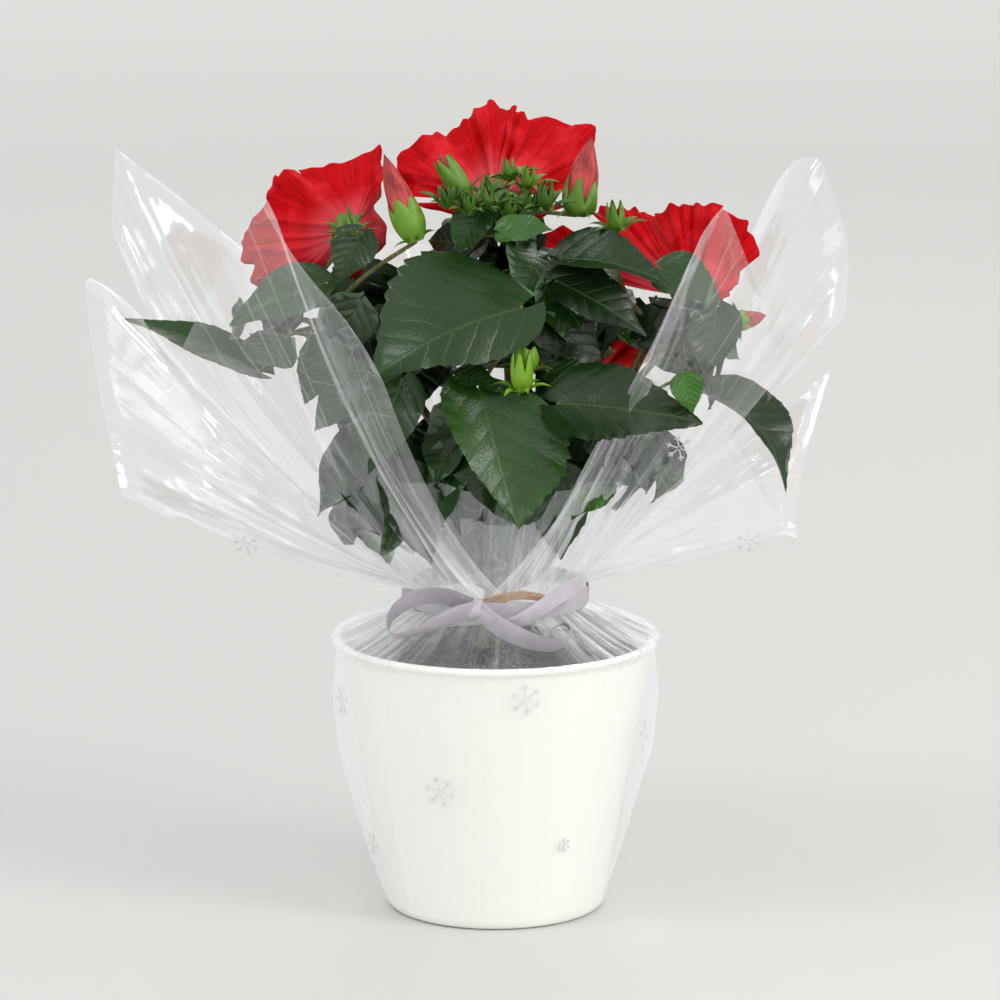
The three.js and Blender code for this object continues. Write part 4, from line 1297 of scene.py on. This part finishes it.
for number, (node, (first, last, corners, belly, rise)) in enumerate(PANELS.items()):
    corners = [inside(node, *c) for c in corners]
    points, faces, uv, _ = panel(first, last, corners, belly, rise,
                                 BACK_PLEATS if node == "film_back" else PANEL_PLEATS,
                                 400 + number)
    panel_skins[node] = points[:PANEL_ROWS * PANEL_COLS].reshape(PANEL_ROWS, PANEL_COLS, 3)
    solid(node, points, faces, clear_film, [node], uv, crease=35)


def drape(profile, folds, seed, around=360, spread=0.6):
    """Film turned round the pot: rings of radius, height and fold depth, pleated."""
    draw = np.random.default_rng(seed)
    turn = full_turn(around)
    pleat = np.zeros(around)
    for k in range(folds):
        away = np.abs((turn - draw.uniform(0, 6.28) + np.pi) % (2 * np.pi) - np.pi)
        pleat += draw.uniform(0.4, 1.0) * np.clip(1 - away / draw.uniform(0.03, 0.12), 0, None)
    pleat = pleat / pleat.max() + 0.3 * ripple(
        np.stack([np.cos(turn), np.sin(turn)], -1), seed, 6, 1.2)
    outer, inner = [], []
    for k, (radius, height, depth) in enumerate(profile):
        wide = radius + depth * np.roll(pleat, k // 3)
        for rings, shift in ((outer, FILM_HALF), (inner, -FILM_HALF)):
            rings.append(np.stack([(wide + shift) * np.cos(turn), (wide + shift) * np.sin(turn),
                                   np.full(around, height)], -1))
    rings = np.array(outer + inner[::-1])
    count = len(rings)
    ids = np.arange(count * around).reshape(count, around)
    beyond = np.roll(ids, -1, axis=0)
    after, both = np.roll(ids, -1, axis=1), np.roll(beyond, -1, axis=1)
    faces = np.stack([ids, after, both, beyond], -1).reshape(-1, 4).tolist()
    climb = np.linspace(0, 1, len(profile))
    climb = np.concatenate([climb, climb[::-1]])
    uv = sheet_map(turn[None, :] * spread, climb[:, None], (count, around))
    return rings.reshape(-1, 3), faces, uv.reshape(-1, 2)


def gather(first, last, height, flare, folds, seed):
    """The crumpled film that stands up round the tie between two angles, with a torn top."""
    draw = np.random.default_rng(seed)
    rows, cols = 36, 260
    u = np.linspace(0, 1, cols)
    v = np.linspace(0, 1, rows)[:, None]
    top = 0.75 + 0.10 * ripple(u[:, None] * folds, seed, 5, 1.0)
    climb = v * top
    creases = np.sort(draw.uniform(0, 1, 4 * folds + 1))
    fold = np.interp(u, creases,
                     draw.uniform(0.4, 1.0, len(creases)) * np.tile([-1, 1], 2 * folds + 1)[1:])
    turn = np.radians(first + (last - first) * (u + 0.03 * v * np.sin(9 * u + seed)))
    radius = (NECK_RADIUS + 0.0007 + flare * climb ** 1.2
              + fold * (0.0007 + 0.0046 * climb ** 0.8))
    grid = np.stack([radius * np.cos(turn), radius * np.sin(turn),
                     NECK_HIGH - 0.002 + height * climb], -1)
    across = u * (last - first) / 60 + seed
    return sheet(grid, FILM_HALF, sheet_map(across, 0.26 + 0.30 * v, (rows, cols)))


collar = Heap()
for first, last, height, flare, folds, seed in (
        (190, 350, 0.078, 0.030, 7, 480), (205, 340, 0.056, 0.016, 5, 481),
        (20, 165, 0.040, 0.018, 6, 482)):
    collar.add(*gather(first, last, height, flare, folds, seed)[:3])
collar.solid("film_collar", clear_film, "film", crease=25)

SLEEVE_LOW, SLEEVE_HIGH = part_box("film_sleeve")
sleeve_rows = [(pot_radius(z) + SLEEVE_GAP, z,
                0.0006 + SLEEVE_SWELL * math.sin(math.pi * min(1, z / 0.13)))
               for z in np.linspace(SLEEVE_LOW.z, SLEEVE_HIGH.z, 40)]
points, faces, uv = drape(sleeve_rows, 12, 500)
uv[:, 1] = 1.0
# how far the film stands off the pot at its two sides, by height
hang = np.interp(points[:, 2], [0.010, 0.030, 0.080, 0.105, SLEEVE_HIGH.z],
                 [0.0, 0.0035, 0.0092, 0.0070, 0.0006])
outward = np.linalg.norm(points[:, :2], axis=1, keepdims=True)
flat_sides = (points[:, :1] / outward) ** 4
points[:, :2] *= 1 + flat_sides * hang[:, None] / outward
sleeve_skin = points
solid("film_sleeve", points, faces, clear_film, ["film_sleeve"], uv, crease=35)

skirt_rows = [(SLEEVE_HIGH.x, SLEEVE_HIGH.z + 0.0006, 0.0008),
              (LIP_REACH + 0.0014, POT_HEIGHT - 0.0012, 0.0006),
              (LIP_REACH + 0.0004, POT_HEIGHT + 0.0008, 0.0004)]
for share in np.linspace(0.06, 1, 22):
    skirt_rows.append((LIP_REACH + (NECK_RADIUS + 0.0012 - LIP_REACH) * share,
                       POT_HEIGHT + 0.001 + (NECK_LOW - POT_HEIGHT - 0.001) * share ** 1.15,
                       0.0036 * math.sin(math.pi * share) + 0.0020 * share))
points, faces, uv = drape(skirt_rows, 46, 501, 480, 1.0)
uv[:, 1] = 0.70 - 0.40 * uv[:, 1]
uv[:, 1] -= 1.05 * (np.abs(points[:, 0]) / LIP_REACH) ** 2
solid("film_skirt", points, faces, clear_film,
      ["film_skirt_" + side for side in ("front", "left", "back", "right")], uv, crease=35)

# ---- the print on the wrap ----
# Small silver-grey snowflakes printed here and there on the film. Each is six arms with barbs,
# laid as fine raised lines on the skin of the sleeve or of a panel.
silver = Finish("silver_print")
silver_cloud = silver.grain(silver.spot(), 700.0, 2.0)
silver_print = silver.close(silver.shader(
    Base_Color=silver.blend(silver_cloud, colour(204, 209, 206), colour(226, 229, 226)),
    Roughness=0.45, Normal=silver.bump(silver_cloud, 0.0002)))
LINE_HALF = 0.00030
PRINT_RISE = 0.0005
PANEL_FLAKE = 0.0065
prints = Heap()


def snowflake(spot, normal, reach):
    side, over, out = frame_of(normal)
    spot = spot + out * PRINT_RISE
    for k in range(6):
        arm = spoke(k * math.pi / 3, side, over)
        prints.add(*limb([spot + arm * reach * 0.12, spot + arm * reach],
                         LINE_HALF, LINE_HALF, 4, 3))
        for turn in (-1, 1):
            barb = unit(arm + turn * 0.9 * np.cross(out, arm))
            start = spot + arm * reach * 0.62
            prints.add(*limb([start, start + barb * reach * 0.30], LINE_HALF, LINE_HALF, 4, 3))


# where each lies round the pot: angle, height, reach
for turn, height, reach in ((247, 0.069, 0.0082), (281, 0.118, 0.0080), (302, 0.040, 0.0035),
                            (340, 0.090, 0.0080), (30, 0.060, 0.0082), (78, 0.110, 0.0080),
                            (120, 0.050, 0.0082), (165, 0.095, 0.0080), (205, 0.035, 0.0060)):
    a = math.radians(turn)
    target = np.array([math.cos(a), math.sin(a), 0]) * (pot_radius(height) + 0.004) + UP * height
    near = sleeve_skin[int(np.argmin(np.linalg.norm(sleeve_skin - target, axis=1)))]
    snowflake(near, (math.cos(a), math.sin(a), -0.15), reach)
# where each lies on a panel: panel, share across, share out from the tie
for node, across, out in (("film_left_low", 0.35, 0.86), ("film_left_low", 0.8, 0.62),
                          ("film_left_high", 0.6, 0.7), ("film_right_high", 0.45, 0.72),
                          ("film_right_low", 0.5, 0.8), ("film_right_front", 0.8, 0.6),
                          ("film_back", 0.2, 0.7), ("film_back", 0.55, 0.85),
                          ("film_back", 0.8, 0.6)):
    skin = panel_skins[node]
    row, col = int(out * len(skin)), int(across * skin.shape[1])
    normal = np.cross(skin[row, col + 1] - skin[row, col], skin[row + 1, col] - skin[row, col])
    snowflake(skin[row, col], normal, PANEL_FLAKE)
prints.solid("snowflake_print", silver_print, "film")

# ---- the ribbon ----
# A narrow grey-lilac satin ribbon, tied round the gathered film and made into a loose bow
# at the front, with one loop curled over and one tail.
RIBBON_HALF = 0.00022
RIBBON_WIDTH = BAND_HIGH.z - BAND_LOW.z
BAND_REACH = 0.0446
MM = 0.001

satin = Finish("lilac_satin")
satin_weave = satin.node("TexWave", {"bands_direction": "X"}, {
    "Vector": satin.node("UVMap", {"uv_map": "UVMap"}), "Scale": 60.0, "Distortion": 0.6})
satin_cloud = satin.grain(satin.spot(), 160.0, 2.0)
satin_shade = satin.blend(satin_cloud, colour(182, 176, 185), colour(212, 207, 217))
lilac_satin = satin.close(satin.shader(
    Base_Color=satin_shade, Roughness=0.34, Anisotropic=0.4,
    Normal=satin.bump(satin_weave * 0.3 + satin_cloud, 0.0003, 0.5)))


def strap(line, wide_ways, width):
    """A flat ribbon along a smooth line, lying across the given directions in turn."""
    steps, cols = 60, 7
    path = curve(line, steps)
    ways = curve(wide_ways, steps)
    along = np.gradient(path, axis=0)
    s = np.linspace(-0.5, 0.5, cols)
    grid = np.zeros((steps, cols, 3))
    for i in range(steps):
        way = unit(ways[i] - unit(along[i]) * (ways[i] @ unit(along[i])))
        bow = unit(np.cross(way, along[i])) * width * 0.03
        grid[i] = path[i] + s[:, None] * width * way + (4 * s[:, None] ** 2 - 1) * bow
    across, down = np.linspace(0, 1, cols)[None, :], np.linspace(0, 5, steps)[:, None]
    return sheet(grid, RIBBON_HALF, sheet_map(across, down, (steps, cols)))


def satin_piece(node, line, ways, width):
    points, faces, uv, _ = strap(line, ways, width)
    solid(node, points, faces, lilac_satin, [node], uv)


around = np.radians(np.linspace(-96, 264, 25))
band_line = [(BAND_REACH * math.cos(a), BAND_REACH * math.sin(a),
              (BAND_LOW.z + BAND_HIGH.z) / 2 + 0.0008 * math.sin(2 * a)) for a in around]
satin_piece("ribbon_band", band_line, [UP] * len(band_line), RIBBON_WIDTH)

knot = inside("ribbon_knot", 0.5, 0.5, 0.5)
# each part of the bow: its line from the knot in mm, the way its width lies, its width
BOW = {
    "ribbon_loop_left": (
        [(-2, -1, 2), (-14, -3, 7), (-27, -6, 7), (-37, -9, 1), (-40, -11, -6),
         (-36, -12, -10), (-25, -12, -7), (-12, -8, -2), (-1, -2, 0)],
        [(.1, -.5, .8), (0, -.6, .8), (-.1, -.6, .8), (-.2, -.7, .6), (-.1, -.9, .3),
         (.1, -.9, .4), (.1, -.8, .6), (0, -.6, .8), (0, -.5, .8)], 0.0116),
    "ribbon_loop_right": (
        [(2, -1, 0), (10, -4, -6), (20, -7, -11), (32, -11, -14), (41, -13, -13),
         (45, -12, -8), (42, -10, -5), (37, -10, -7), (36, -12, -10)],
        [(.2, -.4, .9), (.2, -.4, .9), (.1, -.4, .9), (0, -.6, .8), (0, -.8, .6),
         (0, -.9, .4), (.1, -.9, .3), (.1, -.9, .3), (0, -.9, .4)], 0.0112),
    "ribbon_tail": (
        [(1, -1, -1), (10, -4, -6), (20, -4, -5), (30, -1, 0), (40, 4, 6), (52, 14, 11)],
        [(.4, -.3, .8), (.2, -.5, .8), (-.1, -.4, .9), (-.4, -.2, .9), (-.4, -.1, .9),
         (-.5, -.2, .8)], 0.0078),
}
for node, (line, ways, width) in BOW.items():
    satin_piece(node, knot + np.array(line) * MM, ways, width)

wrap_turns = [knot + np.array([0.3, 2.6 * math.cos(a), 4.4 * math.sin(a)]) * MM
              for a in np.linspace(0, 2 * math.pi, 9)]
satin_piece("ribbon_knot", wrap_turns, [(1, 0, 0.25)] * len(wrap_turns), 0.0070)

# ---- the raffia tie ----
# Three turns of tan paper raffia round the gathered film. They lie behind the ribbon and ride
# up out of it a little at the front.
raffia = Finish("tan_raffia")
raffia_fibre = raffia.grain(raffia.stretched(raffia.spot(), (1.0, 1.0, 6.0)), 300.0, 3.0)
tan_raffia = raffia.close(raffia.shader(
    Base_Color=raffia.blend(raffia_fibre, colour(168, 132, 104), colour(206, 178, 150)),
    Roughness=0.8, Normal=raffia.bump(raffia_fibre, 0.0004)))
RAFFIA_HALF = 0.0007
RAFFIA_TURNS = 3
tie = Heap()
for k in range(RAFFIA_TURNS):
    turn = np.radians(np.linspace(-150, 200, 40))
    front = np.exp(-((turn + 1.33) / 0.30) ** 2)
    lift = NECK_HIGH - 0.0048 + 0.0042 * front + 0.0013 * k + 0.0004 * np.sin(5 * turn + k)
    ring = NECK_RADIUS + 0.0007 + 0.0008 * front + 0.0003 * np.cos(7 * turn + 2 * k)
    tie.add(*limb(np.stack([ring * np.cos(turn), ring * np.sin(turn), lift], -1),
                  RAFFIA_HALF, RAFFIA_HALF, 6, 120))
tie.solid("raffia_tie", tan_raffia, "ribbon")
